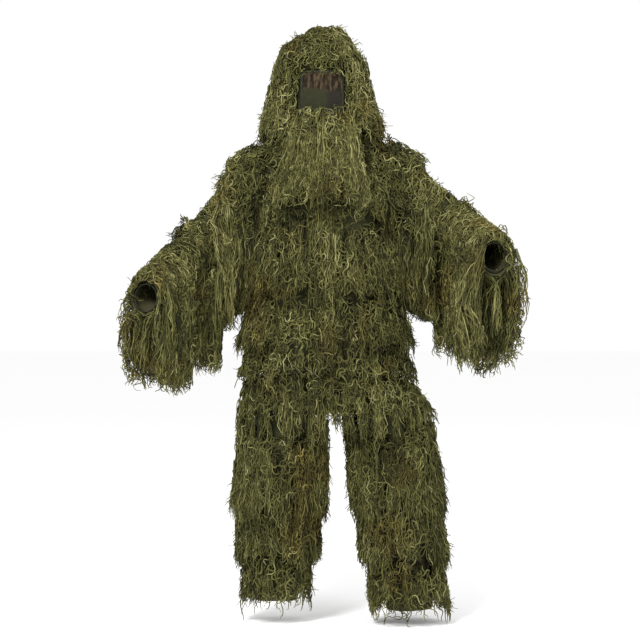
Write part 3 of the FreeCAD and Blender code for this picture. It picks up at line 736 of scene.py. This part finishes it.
def patchy(points):
    """Lighter and darker clumps over the suit, each a hand's breadth or less across."""
    small = np.minimum(broad(points, *SMALL_PATCHES) + 0.15, 0.4)
    return 0.13 * broad(points, *BROAD_PATCHES) + 0.12 * small


def recess_shade_weight(points):
    """From 0 to 1: how far each point is into the hollow under the chin curtain, where painted shade
    darkens the threads.
    """
    across, up = (points[:, 0] + 0.024) / 0.095, (points[:, 2] + 0.215) / 0.045
    return np.clip(1.4 - across**2 - up**2, 0, 1)


def grow_tufts(triangles, style, bodies, density, rng):
    """Hanging tufts over a surface: centre lines, tones and painted root shade of their threads."""
    roots, normals = scatter(triangles, style["tufts"] * density, rng, style["top_bias"])
    if "floor" in style:
        floor = np.interp(roots[:, 0], *style["floor"])
    else:
        floor = triangles[..., 2].min()
    floor = floor - broad(roots, *EDGE_PATTERN) * style["ragged"]
    hang = (roots[:, 2] - floor) * 1.05 + rng.uniform(*style["over"], size=len(roots))
    kept = (hang > style["least"] * 0.75) & (roots[:, 2] > style["above"])
    roots, normals, hang = roots[kept], normals[kept], hang[kept]
    lengths = np.clip(hang, style["least"], style["most"]) * rng.uniform(0.85, 1.05, size=len(roots))
    on_top = normals[:, 2] > TURNED_UP
    lengths[on_top] = np.minimum(lengths[on_top], style["crest"])
    path = comb(triangles, roots, normals, lengths, rng, style)
    path = clear_of_cloth(path, bodies, CLOTH_GAP)
    whole = unbroken(path, TORN)
    roots, lengths, path = roots[whole], lengths[whole], path[whole]
    lines = hanging_lines(path, lengths, style, rng)
    tone = style["tone"] + rng.normal(scale=TUFT_TONES, size=len(roots)) + patchy(roots)
    tone = np.repeat(tone, style["threads"]) + rng.normal(scale=THREAD_TONES, size=len(lines))
    return lines, tone, np.full(len(lines), style["root_shade"])


def grow_tangles(triangles, style, bodies, density, rng):
    """Short loose threads over a surface: centre lines, tones and painted root shade."""
    points, normals = scatter(triangles, style["loose"] * density, rng, 0.0)
    low, high = triangles[..., 2].min(), triangles[..., 2].max()
    share = (points[:, 2] - low) / (high - low)
    lowest, highest = style["loose_band"]
    inside = (share >= lowest) & (share <= highest) & (points[:, 2] > style["above"])
    points, normals = points[inside], normals[inside]
    lines = tangled_lines(triangles, points, normals, style, rng)
    swell = np.sin(np.linspace(0, 9, RINGS + 1) + rng.uniform(0, 6, (len(lines), 1)))
    gap = 0.008 + 0.010 * rng.random((len(lines), 1)) + 0.005 * swell
    lines = clear_of_cloth(lines, bodies, gap)
    whole = unbroken(lines, LOOSE_TORN)
    points, lines = points[whole], lines[whole]
    tone = style["tone"] + 0.04 + rng.normal(scale=LOOSE_TONES, size=len(lines)) + patchy(points)
    # Loose threads get a light painted shade at their roots.
    return lines, tone, np.full(len(lines), 0.4)


def grow(name, triangles, style, body=None, blend=None, nodes=(), clear=None):
    """Covers a surface with hanging tufts and loose tangles, as one piece or a few."""
    rng = seeded(name)
    density = DENSITY["back" if name.endswith("_back") else "front"]
    bodies = blend[:2] if blend else (body,)
    tufts = grow_tufts(triangles, style, bodies, density, rng)
    tangles = grow_tangles(triangles, style, bodies, density, rng)
    lines, tone, root_shade = (np.concatenate(both) for both in zip(tufts, tangles))
    # Painted shade: threads in the hollow under the chin curtain are made darker.
    tone = np.clip(tone - style["recess_shade"] * recess_shade_weight(lines.mean(axis=1)), 0, 1)
    if clear:
        free = ~clear(lines).any(axis=1)
        lines, tone, root_shade = lines[free], tone[free], root_shade[free]
    parts = int(math.ceil(len(lines) / THREADS_IN_PIECE))
    for part in range(parts):
        mine = slice(part, None, parts)
        mesh = thread_mesh(f"{name}_threads_{part + 1}", lines[mine], tone[mine], root_shade[mine], rng)
        add_piece(mesh.name, mesh, THREAD, body, blend, nodes)


def in_ellipse(points, x, z, half_width, half_height):
    """Which points lie in an upright ellipse, as seen from the front."""
    return ((points[..., 0] - x) / half_width) ** 2 + ((points[..., 2] - z) / half_height) ** 2 < 1


def in_right_cuff(points):
    """Where the right hand comes out, which no thread crosses."""
    return (points[..., 1] < -0.26) & in_ellipse(points, -0.534, -0.492, 0.036, 0.044)


def in_left_cuff(points):
    """Where the left hand comes out, and the slit under it."""
    x, y, z = points[..., 0], points[..., 1], points[..., 2]
    slit = (np.abs(x - 0.484 - 0.006 * np.sin(z * 60)) < 0.008) & (z > -0.53) & (z < -0.37)
    return (y < -0.30) & (in_ellipse(points, 0.500, -0.368, 0.033, 0.038) | slit)


def in_right_gap(points):
    """The open space between the right sleeve's drape and the body."""
    return (points[..., 0] > -0.320) & (points[..., 2] < -0.595)


def in_left_gap(points):
    """The open space between the left sleeve's drape and the body."""
    return (points[..., 0] < 0.335) & (points[..., 2] < -0.565)


def in_window(points):
    """In front of the face screen, below the ragged edge of the brow."""
    x, z = points[..., 0], points[..., 2]
    return (np.abs(x + 0.009) < 0.060) & (z < 0.184 + 0.006 * np.sin(x * 110))


IN_GAP = {"right": in_right_gap, "left": in_left_gap}
IN_CUFF = {"right": in_right_cuff, "left": in_left_cuff}
CLEAR = {
    "right_lower_sleeve_fringe": in_right_cuff, "left_lower_sleeve_fringe": in_left_cuff,
    "right_upper_sleeve_fringe": in_right_gap, "left_upper_sleeve_fringe": in_left_gap,
    "brow_fringe": in_window,
}


def inset(triangles, distance, more_on_top):
    """The surface moved inwards along its averaged normals, the more where it faces up."""
    points = triangles.reshape(-1, 3)
    place = np.unique(np.round(points, 5), axis=0, return_inverse=True)[1].ravel()
    totals = np.zeros((place.max() + 1, 3))
    np.add.at(totals, place, np.repeat(unit(cross_of(triangles)), 3, axis=0))
    normals = unit(totals)[place]
    depth = distance + more_on_top * np.maximum(normals[:, 2:], 0)
    return (points - normals * depth).reshape(-1, 3, 3)


def fringe_surface(node):
    """The surface a fringe grows on: its own outside, but for some that need more or less of it."""
    surface = outer_triangles(node)
    if "sleeve" in node:
        surface = inset(surface, distance=0.034, more_on_top=0.016)
    if node == "placket_fringe":
        surface = surface * np.array([1.45, 1.0, 1.0])
    if node == "brow_fringe":
        surface = surface[surface[..., 2].mean(axis=1) > 0.192]
    return surface


def grow_node_fringes():
    for node in sorted(name for name in frame["nodes"] if "fringe" in name):
        grow(
            node, fringe_surface(node), style_of(node), body=BODY_OF[node], nodes=[node],
            clear=CLEAR.get(node),
        )


# ---------------------------------------------------------------- places on the suit

# The right side is at -X.
SIGN = {"right": -1, "left": 1}
HEADING = {"right": (180, 240), "left": (0, -73)}          # of the upper sleeve and of the forearm
ELBOW = {"right": (-0.392, -0.022, -0.332), "left": (0.404, -0.028, -0.275)}
LEG = {"right": (-0.125, -0.140, 0.0), "left": (0.190, 0.224, -0.020)}      # hip's x, knee's x and y
HOOD_AXIS = (-0.009, 0.008)
SCREEN_PITCH = 0.0024     # between the yarns of the face screen
SCREEN_YARN = 0.0010


def shoulder_blend(side):
    """What a piece over the shoulder blends between, and where the blend starts and ends."""
    sign = SIGN[side]
    return "jacket", side + "_sleeve", (sign * 0.17, 0, -0.10), (sign * 0.24, 0, -0.14)


def elbow_blend(side):
    """The same for the elbow."""
    middle = math.radians(sum(HEADING[side]) / 2)
    step = Vector((math.cos(middle), math.sin(middle), 0)) * 0.03
    elbow = Vector(ELBOW[side])
    return side + "_sleeve", side + "_forearm", tuple(elbow - step), tuple(elbow + step)


def hip_blend(side):
    """The same for the hip."""
    x = LEG[side][0]
    return "trousers", side + "_upper_leg", (x, 0, -0.838), (x, 0, -0.880)


def knee_blend(side):
    """The same for the knee."""
    _, x, y = LEG[side]
    return side + "_upper_leg", side + "_lower_leg", (x, y, -1.095), (x, y, -1.135)


def sleeve_rings(side, rows):
    """Rings across the upper sleeve, from rows of x, z, half height and half width."""
    heading = HEADING[side][0]
    return [upright_ring(SIGN[side] * x, 0, z, height, width, heading) for x, z, height, width in rows]


def elbow_rings(side, shares, drop, half_height, half_width):
    """Rings about the elbow, turned from the upper sleeve's heading (0) to the forearm's (1)."""
    x, y, z = ELBOW[side]
    first, second = HEADING[side]
    return [
        upright_ring(x, y, z - drop, half_height, half_width, first + (second - first) * share)
        for share in shares
    ]


def cuff_rings(side, rows, count=40):
    """Rings across the forearm, from rows of distance behind the cuff, half height and half width."""
    low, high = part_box(side + "_cuff_elastic")
    middle = (np.array(low) + np.array(high)) / 2
    turn = math.radians(HEADING[side][1])
    ahead = np.array([math.cos(turn), math.sin(turn), 0])
    return [
        upright_ring(*(middle - ahead * back), height, width, HEADING[side][1], count)
        for back, height, width in rows
    ]


def veil_point(x, z, standoff=0.0):
    """A point of the veil's face at x and z, on an ellipse that widens towards the chin."""
    share = (0.204 - z) / 0.120
    half_width = 0.099 + 0.012 * share + standoff
    half_depth = 0.123 + 0.010 * share + standoff
    across = (x - HOOD_AXIS[0]) / half_width
    return (x, HOOD_AXIS[1] - half_depth * math.sqrt(1 - across * across), z)


def chin_edge_surface():
    """A narrow strip of the veil's face under the screen."""
    levels = ((0.086, 0.004), (0.074, 0.010), (0.050, 0.016), (0.030, 0.018))
    columns = np.linspace(-0.084, 0.066, 16)
    rows = np.array([[veil_point(x, z, standoff) for x in columns] for z, standoff in levels])
    first, second = rows[:-1, :-1], rows[:-1, 1:]
    third, fourth = rows[1:, :-1], rows[1:, 1:]
    halves = (np.stack([first, third, second], axis=2), np.stack([second, third, fourth], axis=2))
    return np.concatenate([half.reshape(-1, 3, 3) for half in halves])


# ---------------------------------------------------------------- fringes sewn over the seams


def grow_neck_seam():
    rows = (
        (0.022, 0.100, 0.085), (0.004, 0.150, 0.102), (-0.018, 0.186, 0.112), (-0.050, 0.206, 0.120),
    )
    neck = ruled([level_ring(z, half_width, half_depth, 0, 0) for z, half_width, half_depth in rows])
    grow("neck_seam", neck, dict(TOUSLED, least=0.06, most=0.12, depth=0.015), body="jacket")


def grow_chin_edge():
    style = dict(CURTAIN, tufts=5200, least=0.05, most=0.16, ragged=0.02, loose=0)
    grow("chin_edge", chin_edge_surface(), style, body="veil")


def grow_side_seam(side):
    rows = (
        (-0.130, 0.228), (-0.260, 0.232), (-0.390, 0.232), (-0.520, 0.236), (-0.640, 0.244),
        (-0.700, 0.246),
    )
    flank = ruled([level_ring(z, half_width, 0.110, 0, 0) for z, half_width in rows])
    flank = flank[SIGN[side] * flank[..., 0].mean(axis=1) > 0.150]
    style = dict(PLAIN, tufts=1900, top_bias=3, depth=0.012, loose=4000, root_shade=0.2)
    grow(side + "_side_seam", flank, style, body="jacket")


def grow_shoulder_seam(side):
    rows = (
        (0.160, -0.106, 0.094, 0.102), (0.190, -0.110, 0.100, 0.106), (0.225, -0.124, 0.104, 0.108),
        (0.262, -0.152, 0.106, 0.106), (0.305, -0.192, 0.108, 0.104),
    )
    style = dict(
        TOUSLED, least=0.14, most=0.36, over=(0.10, 0.28), tousle=0.3, depth=0.026, loose=9000, rise=0.0,
        lift=(-0.026, -0.006), loose_lift=(-0.022, -0.006),
    )
    shoulder = ruled(sleeve_rings(side, rows))
    grow(side + "_shoulder_seam", shoulder, style, blend=shoulder_blend(side), clear=IN_GAP[side])


def grow_underarm(side):
    rows = (
        (0.205, -0.335, 0.15, 0.070), (0.240, -0.345, 0.17, 0.078), (0.285, -0.365, 0.17, 0.082),
        (0.315, -0.385, 0.17, 0.080),
    )
    style = dict(PLAIN, tufts=2000, over=(0.0, 0.05), depth=0.012, loose_band=(0.0, 1.0))
    underarm = ruled(sleeve_rings(side, rows))
    grow(side + "_underarm", underarm, style, body=side + "_sleeve", clear=IN_GAP[side])


def grow_knee_seam(side):
    _, x, y = LEG[side]
    knee = ruled([level_ring(z, 0.092, 0.100, x, y) for z in (-1.060, -1.110, -1.170)])
    style = dict(
        PLAIN, tufts=1100, depth=0.004, least=0.06, most=0.13, over=(0.03, 0.08), root_shade=0.3, loose=6000,
        loose_lift=(-0.006, 0.004), loose_band=(0.0, 1.0),
    )
    grow(side + "_knee_seam", knee, style, blend=knee_blend(side))


def grow_cuff_seam(side):
    cuff = ruled(cuff_rings(side, ((0.070, 0.060, 0.060), (0.040, 0.057, 0.057), (0.004, 0.052, 0.052))))
    style = dict(
        SLEEVE, tufts=3400, floor=SLEEVE_FLOORS[side], depth=0.006, lift=(-0.002, 0.004), least=0.05,
        most=0.26, loose_lift=(-0.002, 0.005), loose_length=(0.03, 0.06), rise=0.2, crest=0.06,
    )
    grow(side + "_cuff_seam", cuff, style, body=side + "_forearm", clear=IN_CUFF[side])


def grow_elbow_cap(side):
    turns = (-0.5, -0.2, 0.1, 0.4, 0.7, 1.0, 1.3)
    cap = ruled(elbow_rings(side, turns, drop=0, half_height=0.080, half_width=0.072))
    style = dict(
        TOUSLED, tufts=2600, depth=0.004, lift=(-0.004, 0.006), loose_lift=(-0.002, 0.008), least=0.05,
        most=0.15, over=(0.03, 0.10), root_shade=0.35, loose=15000,
    )
    grow(side + "_elbow_cap", cap, style, blend=elbow_blend(side), clear=IN_GAP[side])


def grow_elbow_seam(side):
    turns = (-0.1, 0.2, 0.5, 0.8, 1.1)
    elbow = ruled(elbow_rings(side, turns, drop=0.185, half_height=0.262, half_width=0.080))
    elbow = elbow[elbow[..., 2].mean(axis=1) > ELBOW[side][2] - 0.30]
    style = dict(SLEEVE, over=(0.04, 0.10), depth=0.02, lift=(-0.018, 0.0), loose_lift=(-0.02, -0.004))
    grow(side + "_elbow_seam", elbow, style, blend=elbow_blend(side), clear=IN_GAP[side])


def grow_seam_fringes():
    """Threads sewn over the seams, where the cloth bends."""
    grow_neck_seam()
    grow_chin_edge()
    for side in SIDES:
        grow_side_seam(side)
        grow_shoulder_seam(side)
        grow_underarm(side)
        grow_knee_seam(side)
        grow_cuff_seam(side)
        grow_elbow_cap(side)
        grow_elbow_seam(side)


# ---------------------------------------------------------------- cloth

CLOTH_THICKNESS = 0.0016
LONGEST_EDGE = 0.022      # of the cloth's mesh, fine enough to take the folds of its wrinkles


def wrinkle(points, amount=0.0035, across=9, upright=26):
    """Moves points together in soft, mostly level folds, so many to a metre across and upright."""
    moved = points.copy()
    for index, (x, y, z) in enumerate(points):
        fold = noise.noise_vector(Vector((x * across, y * across, z * upright)))
        moved[index] += np.array(fold) * amount
    return moved


def cloth_from(node):
    """The node's panel as wrinkled cloth."""
    shape = bmesh.new()
    shape.from_mesh(frame["nodes"][node].data)
    bmesh.ops.remove_doubles(shape, verts=shape.verts, dist=0.00002)
    for _ in range(3):
        long_edges = [edge for edge in shape.edges if edge.calc_length() > LONGEST_EDGE]
        if long_edges:
            bmesh.ops.subdivide_edges(shape, edges=long_edges, cuts=1)
            bmesh.ops.triangulate(shape, faces=[face for face in shape.faces if len(face.verts) > 4])
    mesh = bpy.data.meshes.new(node + "_cloth")
    shape.to_mesh(mesh)
    shape.free()
    points = np.empty(len(mesh.vertices) * 3)
    mesh.vertices.foreach_get("co", points)
    mesh.vertices.foreach_set("co", wrinkle(points.reshape(-1, 3)).astype(np.float32).ravel())
    mesh.polygons.foreach_set("use_smooth", np.ones(len(mesh.polygons), bool))
    mesh.update()
    return add_piece(mesh.name, mesh, CLOTH, BODY_OF[node], nodes=[node])


def make_cloth():
    """All base cloth, one wrinkled piece for each cut panel."""
    for node, size in CUTS.items():
        cloth_from(node)


def closed_mesh(name, rows):
    """A smooth mesh round rows of points, where the last row and the last column join the first."""
    count, columns = rows.shape[:2]
    faces = []
    for row in range(count):
        here, below = row * columns, (row + 1) % count * columns
        for column in range(columns):
            after = (column + 1) % columns
            faces.append((here + column, here + after, below + after, below + column))
    mesh = bpy.data.meshes.new(name)
    mesh.from_pydata(rows.reshape(-1, 3).tolist(), [], faces)
    shape = bmesh.new()
    shape.from_mesh(mesh)
    bmesh.ops.recalc_face_normals(shape, faces=shape.faces)
    shape.to_mesh(mesh)
    shape.free()
    mesh.polygons.foreach_set("use_smooth", np.ones(len(mesh.polygons), bool))
    return mesh


def tube_mesh(name, rings, thickness=CLOTH_THICKNESS, pleats=0, pleat_depth=0.0):
    """A closed thin tube through the rings, with pleats round it if asked."""
    outer, inner = [], []
    for ring in rings:
        middle = ring.mean(axis=0)
        outward = unit(ring - middle)
        fold = pleat_depth * np.sin(2 * math.pi * pleats * np.arange(len(ring)) / len(ring))[:, None]
        outer.append(ring + outward * fold)
        inner.append(ring + outward * (fold - thickness))
    return closed_mesh(name, np.stack(outer + inner[::-1]))


def along_rings(rings, steps):
    """More rings, straight between the given ones."""
    found = []
    for first, second in zip(rings, rings[1:]):
        found += [first + (second - first) * step / steps for step in range(steps)]
    return found + [rings[-1]]


def gusset(name, rings, blend):
    """A soft band of cloth across a joint."""
    rings = [wrinkle(ring, amount=0.004) for ring in along_rings(rings, steps=5)]
    mesh = tube_mesh(name, rings)
    piece = add_piece(name, mesh, CLOTH, blend=blend)


def make_arm_gussets(side):
    rows = ((0.150, -0.120, 0.080, 0.072), (0.180, -0.126, 0.094, 0.078), (0.214, -0.138, 0.102, 0.080))
    gusset(side + "_shoulder_gusset", sleeve_rings(side, rows), shoulder_blend(side))
    blend = elbow_blend(side)
    first, second = HEADING[side]
    places = (
        (blend[2], 0.076, 0.062, 0.15), (ELBOW[side], 0.073, 0.061, 0.5), (blend[3], 0.068, 0.058, 0.85),
    )
    rings = [
        upright_ring(x, y, ELBOW[side][2], height, width, first + (second - first) * turn)
        for (x, y, _), height, width, turn in places
    ]
    gusset(side + "_elbow_gusset", rings, blend)


def make_leg_gussets(side):
    hip_x, knee_x, knee_y = LEG[side]
    hip = [
        level_ring(z, 0.091, 0.099, hip_x + (knee_x - hip_x) * share, knee_y * share)
        for z, share in ((-0.826, 0.0), (-0.870, 0.1), (-0.920, 0.3))
    ]
    gusset(side + "_hip_gusset", hip, hip_blend(side))
    knee = [level_ring(z, 0.082, 0.088, knee_x, knee_y) for z in (-1.085, -1.115, -1.150)]
    gusset(side + "_knee_gusset", knee, knee_blend(side))


def make_gussets():
    for side in SIDES:
        make_arm_gussets(side)
    for side in SIDES:
        make_leg_gussets(side)


# ---------------------------------------------------------------- face screen, elastics, fasteners


def make_screen():
    """The face screen: a knitted mesh with open holes, slightly rippled."""
    low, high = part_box("face_screen")
    columns = int((high[0] - low[0]) / SCREEN_PITCH)
    rows = int((high[2] - low[2]) / SCREEN_PITCH)
    points = []
    for row in range(rows + 1):
        for column in range(columns + 1):
            x = low[0] + (high[0] - low[0]) * column / columns
            z = low[2] + (high[2] - low[2]) * row / rows
            ripple = 0.0012 * math.sin(x * 90 + z * 25) + 0.0010 * math.sin(z * 70)
            points.append(veil_point(x, z, ripple))
    across = columns + 1
    faces = [
        (row * across + column, row * across + column + 1, (row + 1) * across + column + 1,
         (row + 1) * across + column)
        for row in range(rows)
        for column in range(columns)
    ]
    mesh = bpy.data.meshes.new("face_screen_net")
    mesh.from_pydata(points, [], faces)
    shape = bmesh.new()
    shape.from_mesh(mesh)
    bmesh.ops.wireframe(
        shape, faces=shape.faces, thickness=SCREEN_YARN, use_replace=True, use_boundary=True,
        use_even_offset=True,
    )
    shape.to_mesh(mesh)
    shape.free()
    piece = add_piece("face_screen_net", mesh, SCREEN, "veil", nodes=["face_screen"])


def rounded_outline(low, high, radius, count=7):
    """Corner-rounded rectangle in x and z, as points at even steps."""
    corners = (
        (high[0] - radius, high[1] - radius, 0), (low[0] + radius, high[1] - radius, 90),
        (low[0] + radius, low[1] + radius, 180), (high[0] - radius, low[1] + radius, 270),
    )
    outline = []
    for x, z, start in corners:
        for step in range(count):
            angle = math.radians(start + 90 * step / (count - 1))
            outline.append((x + radius * math.cos(angle), z + radius * math.sin(angle)))
    points = np.array(outline)
    closed = np.vstack([points, points[:1]])
    run = np.concatenate([[0], np.cumsum(np.linalg.norm(np.diff(closed, axis=0), axis=1))])
    even = np.linspace(0, run[-1], 180, endpoint=False)
    return np.stack([np.interp(even, run, closed[:, 0]), np.interp(even, run, closed[:, 1])], axis=1)


def swept(name, path, outward, half_width, half_thickness, corners=10):
    """A closed flat band that follows a closed path, its width lying square to outward."""
    tangent = unit(np.roll(path, -1, axis=0) - np.roll(path, 1, axis=0))
    across = unit(np.cross(tangent, outward))
    angles = 2 * math.pi * np.arange(corners) / corners
    ring = (
        path[:, None]
        + across[:, None] * (half_width * np.cos(angles))[None, :, None]
        + outward[:, None] * (half_thickness * np.sin(angles))[None, :, None]
    )
    return closed_mesh(name, ring)


def binding_path():
    """The middle of the tape round the screen, and the way out from the veil at each point."""
    low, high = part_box("face_binding")
    inward = 0.0045
    outline = rounded_outline(
        (low[0] + inward, low[2] + inward), (high[0] - inward, high[2] - inward), 0.006
    )
    path = np.array([veil_point(x, z, standoff=0.0008) for x, z in outline])
    outward = path - np.array([*HOOD_AXIS, 0])
    outward[:, 2] = 0
    return path, unit(outward)


def stitch_points(middle, along, out):
    """Corners of one stitch: four at each end."""
    across = np.cross(along, out)
    section = ((-0.0004, 0), (0, 0.0005), (0.0004, 0), (0, -0.0003))
    return [
        (middle + along * end + across * side + out * rise).tolist()
        for end in (-0.0011, 0.0011)
        for side, rise in section
    ]


def make_binding():
    """The tape round the screen, with a row of stitches."""
    path, outward = binding_path()
    tape = swept("face_binding_tape", path, outward, half_width=0.0052, half_thickness=0.0016)
    add_piece(tape.name, tape, TAPE, "veil", nodes=["face_binding"])
    points, faces = [], []
    for start in range(0, len(path), 2):
        here, after = path[start], path[(start + 1) % len(path)]
        middle = (here + after) / 2 + outward[start] * 0.0014
        base = len(points)
        points += stitch_points(middle, unit(after - here), outward[start])
        faces += [(base + i, base + (i + 1) % 4, base + 4 + (i + 1) % 4, base + 4 + i) for i in range(4)]
        faces += [(base + 3, base + 2, base + 1, base), (base + 4, base + 5, base + 6, base + 7)]
    stitches = bpy.data.meshes.new("face_binding_stitches")
    stitches.from_pydata(points, [], faces)
    add_piece(stitches.name, stitches, STITCH, "veil")


BAND_POINTS = 432         # round an elastic


def gathered_band(node, rings):
    """Elastic drawn into fine pleats."""
    name = node + "_band"
    mesh = tube_mesh(name, along_rings(rings, steps=4), thickness=0.0025, pleats=72, pleat_depth=0.0009)
    add_piece(name, mesh, ELASTIC, BODY_OF[node], nodes=[node])


def make_elastics():
    for node in ("waist_elastic", "jacket_hem_elastic", "right_ankle_elastic", "left_ankle_elastic"):
        low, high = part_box(node)
        x, y = (low[0] + high[0]) / 2, (low[1] + high[1]) / 2
        half_width, half_depth = (high[0] - low[0]) / 2 - 0.001, (high[1] - low[1]) / 2 - 0.001
        rings = [level_ring(z, half_width, half_depth, x, y, BAND_POINTS) for z in (low[2], high[2])]
        gathered_band(node, rings)
    for side in SIDES:
        rows = ((0.005, 0.0430, 0.0410), (-0.005, 0.0430, 0.0410))
        gathered_band(side + "_cuff_elastic", cuff_rings(side, rows, BAND_POINTS))


def finish_fasteners():
    """Brass on the studs and caps, which stay the CAD's own shapes."""
    for node in ("snap_studs", "snap_caps"):
        piece = frame["nodes"][node]
        for material_slot in piece.material_slots:
            material_slot.material = BRASS
        if not piece.material_slots:
            piece.data.materials.append(BRASS)


grow_node_fringes()
grow_seam_fringes()
make_cloth()
make_gussets()
make_screen()
make_binding()
make_elastics()
finish_fasteners()

# ---------------------------------------------------------------- stage, light and camera

FLOOR_LEVEL = -1.49       # the soles of a wearer's boots
VIEW_CENTRE = (-0.0155, -0.558)
VIEW_WIDTH = 1.984
VIEW_DISTANCE = 7.0


def make_stage():
    """A pale floor with no edge in sight."""
    mesh = bpy.data.meshes.new("floor")
    reach = 60.0
    corners = [(-reach, -reach), (reach, -reach), (reach, reach), (-reach, reach)]
    mesh.from_pydata([(x, y, FLOOR_LEVEL) for x, y in corners], [], [(0, 1, 2, 3)])
    material, _, _, shader = new_material("pale_floor", 0.9)
    shader.inputs["Base Color"].default_value = (0.97, 0.97, 0.97, 1)
    mesh.materials.append(material)
    floor = bpy.data.objects.new("floor", mesh)
    bpy.context.collection.objects.link(floor)


def add_light(name, place, target, size, power):
    light = bpy.data.lights.new(name, "AREA")
    light.shape = "DISK"
    light.size = size
    light.energy = power
    lamp = bpy.data.objects.new(name, light)
    lamp.location = place
    lamp.rotation_euler = (Vector(target) - Vector(place)).to_track_quat("-Z", "Y").to_euler()
    bpy.context.collection.objects.link(lamp)


def make_lights():
    """An even white surround, with a key light from the upper left and a weaker fill."""
    world = bpy.data.worlds.new("studio")
    bpy.context.scene.world = world
    world.use_nodes = True
    world.node_tree.nodes["Background"].inputs["Color"].default_value = (1, 1, 1, 1)
    world.node_tree.nodes["Background"].inputs["Strength"].default_value = 1.0
    add_light("key", (-1.6, -4.2, 2.6), (0, 0, -0.4), 1.6, 330)
    add_light("fill", (3.0, -3.6, 0.6), (0, 0, -0.6), 2.4, 90)


def make_camera():
    camera = bpy.data.cameras.new("camera")
    camera.sensor_width = 36
    camera.lens = camera.sensor_width * VIEW_DISTANCE / VIEW_WIDTH
    view = bpy.data.objects.new("camera", camera)
    view.location = (VIEW_CENTRE[0], -VIEW_DISTANCE, VIEW_CENTRE[1])
    view.rotation_euler = (math.pi / 2, 0, 0)
    bpy.context.collection.objects.link(view)
    bpy.context.scene.camera = view


make_stage()
make_lights()
make_camera()
bpy.context.scene.view_settings.view_transform = "Standard"
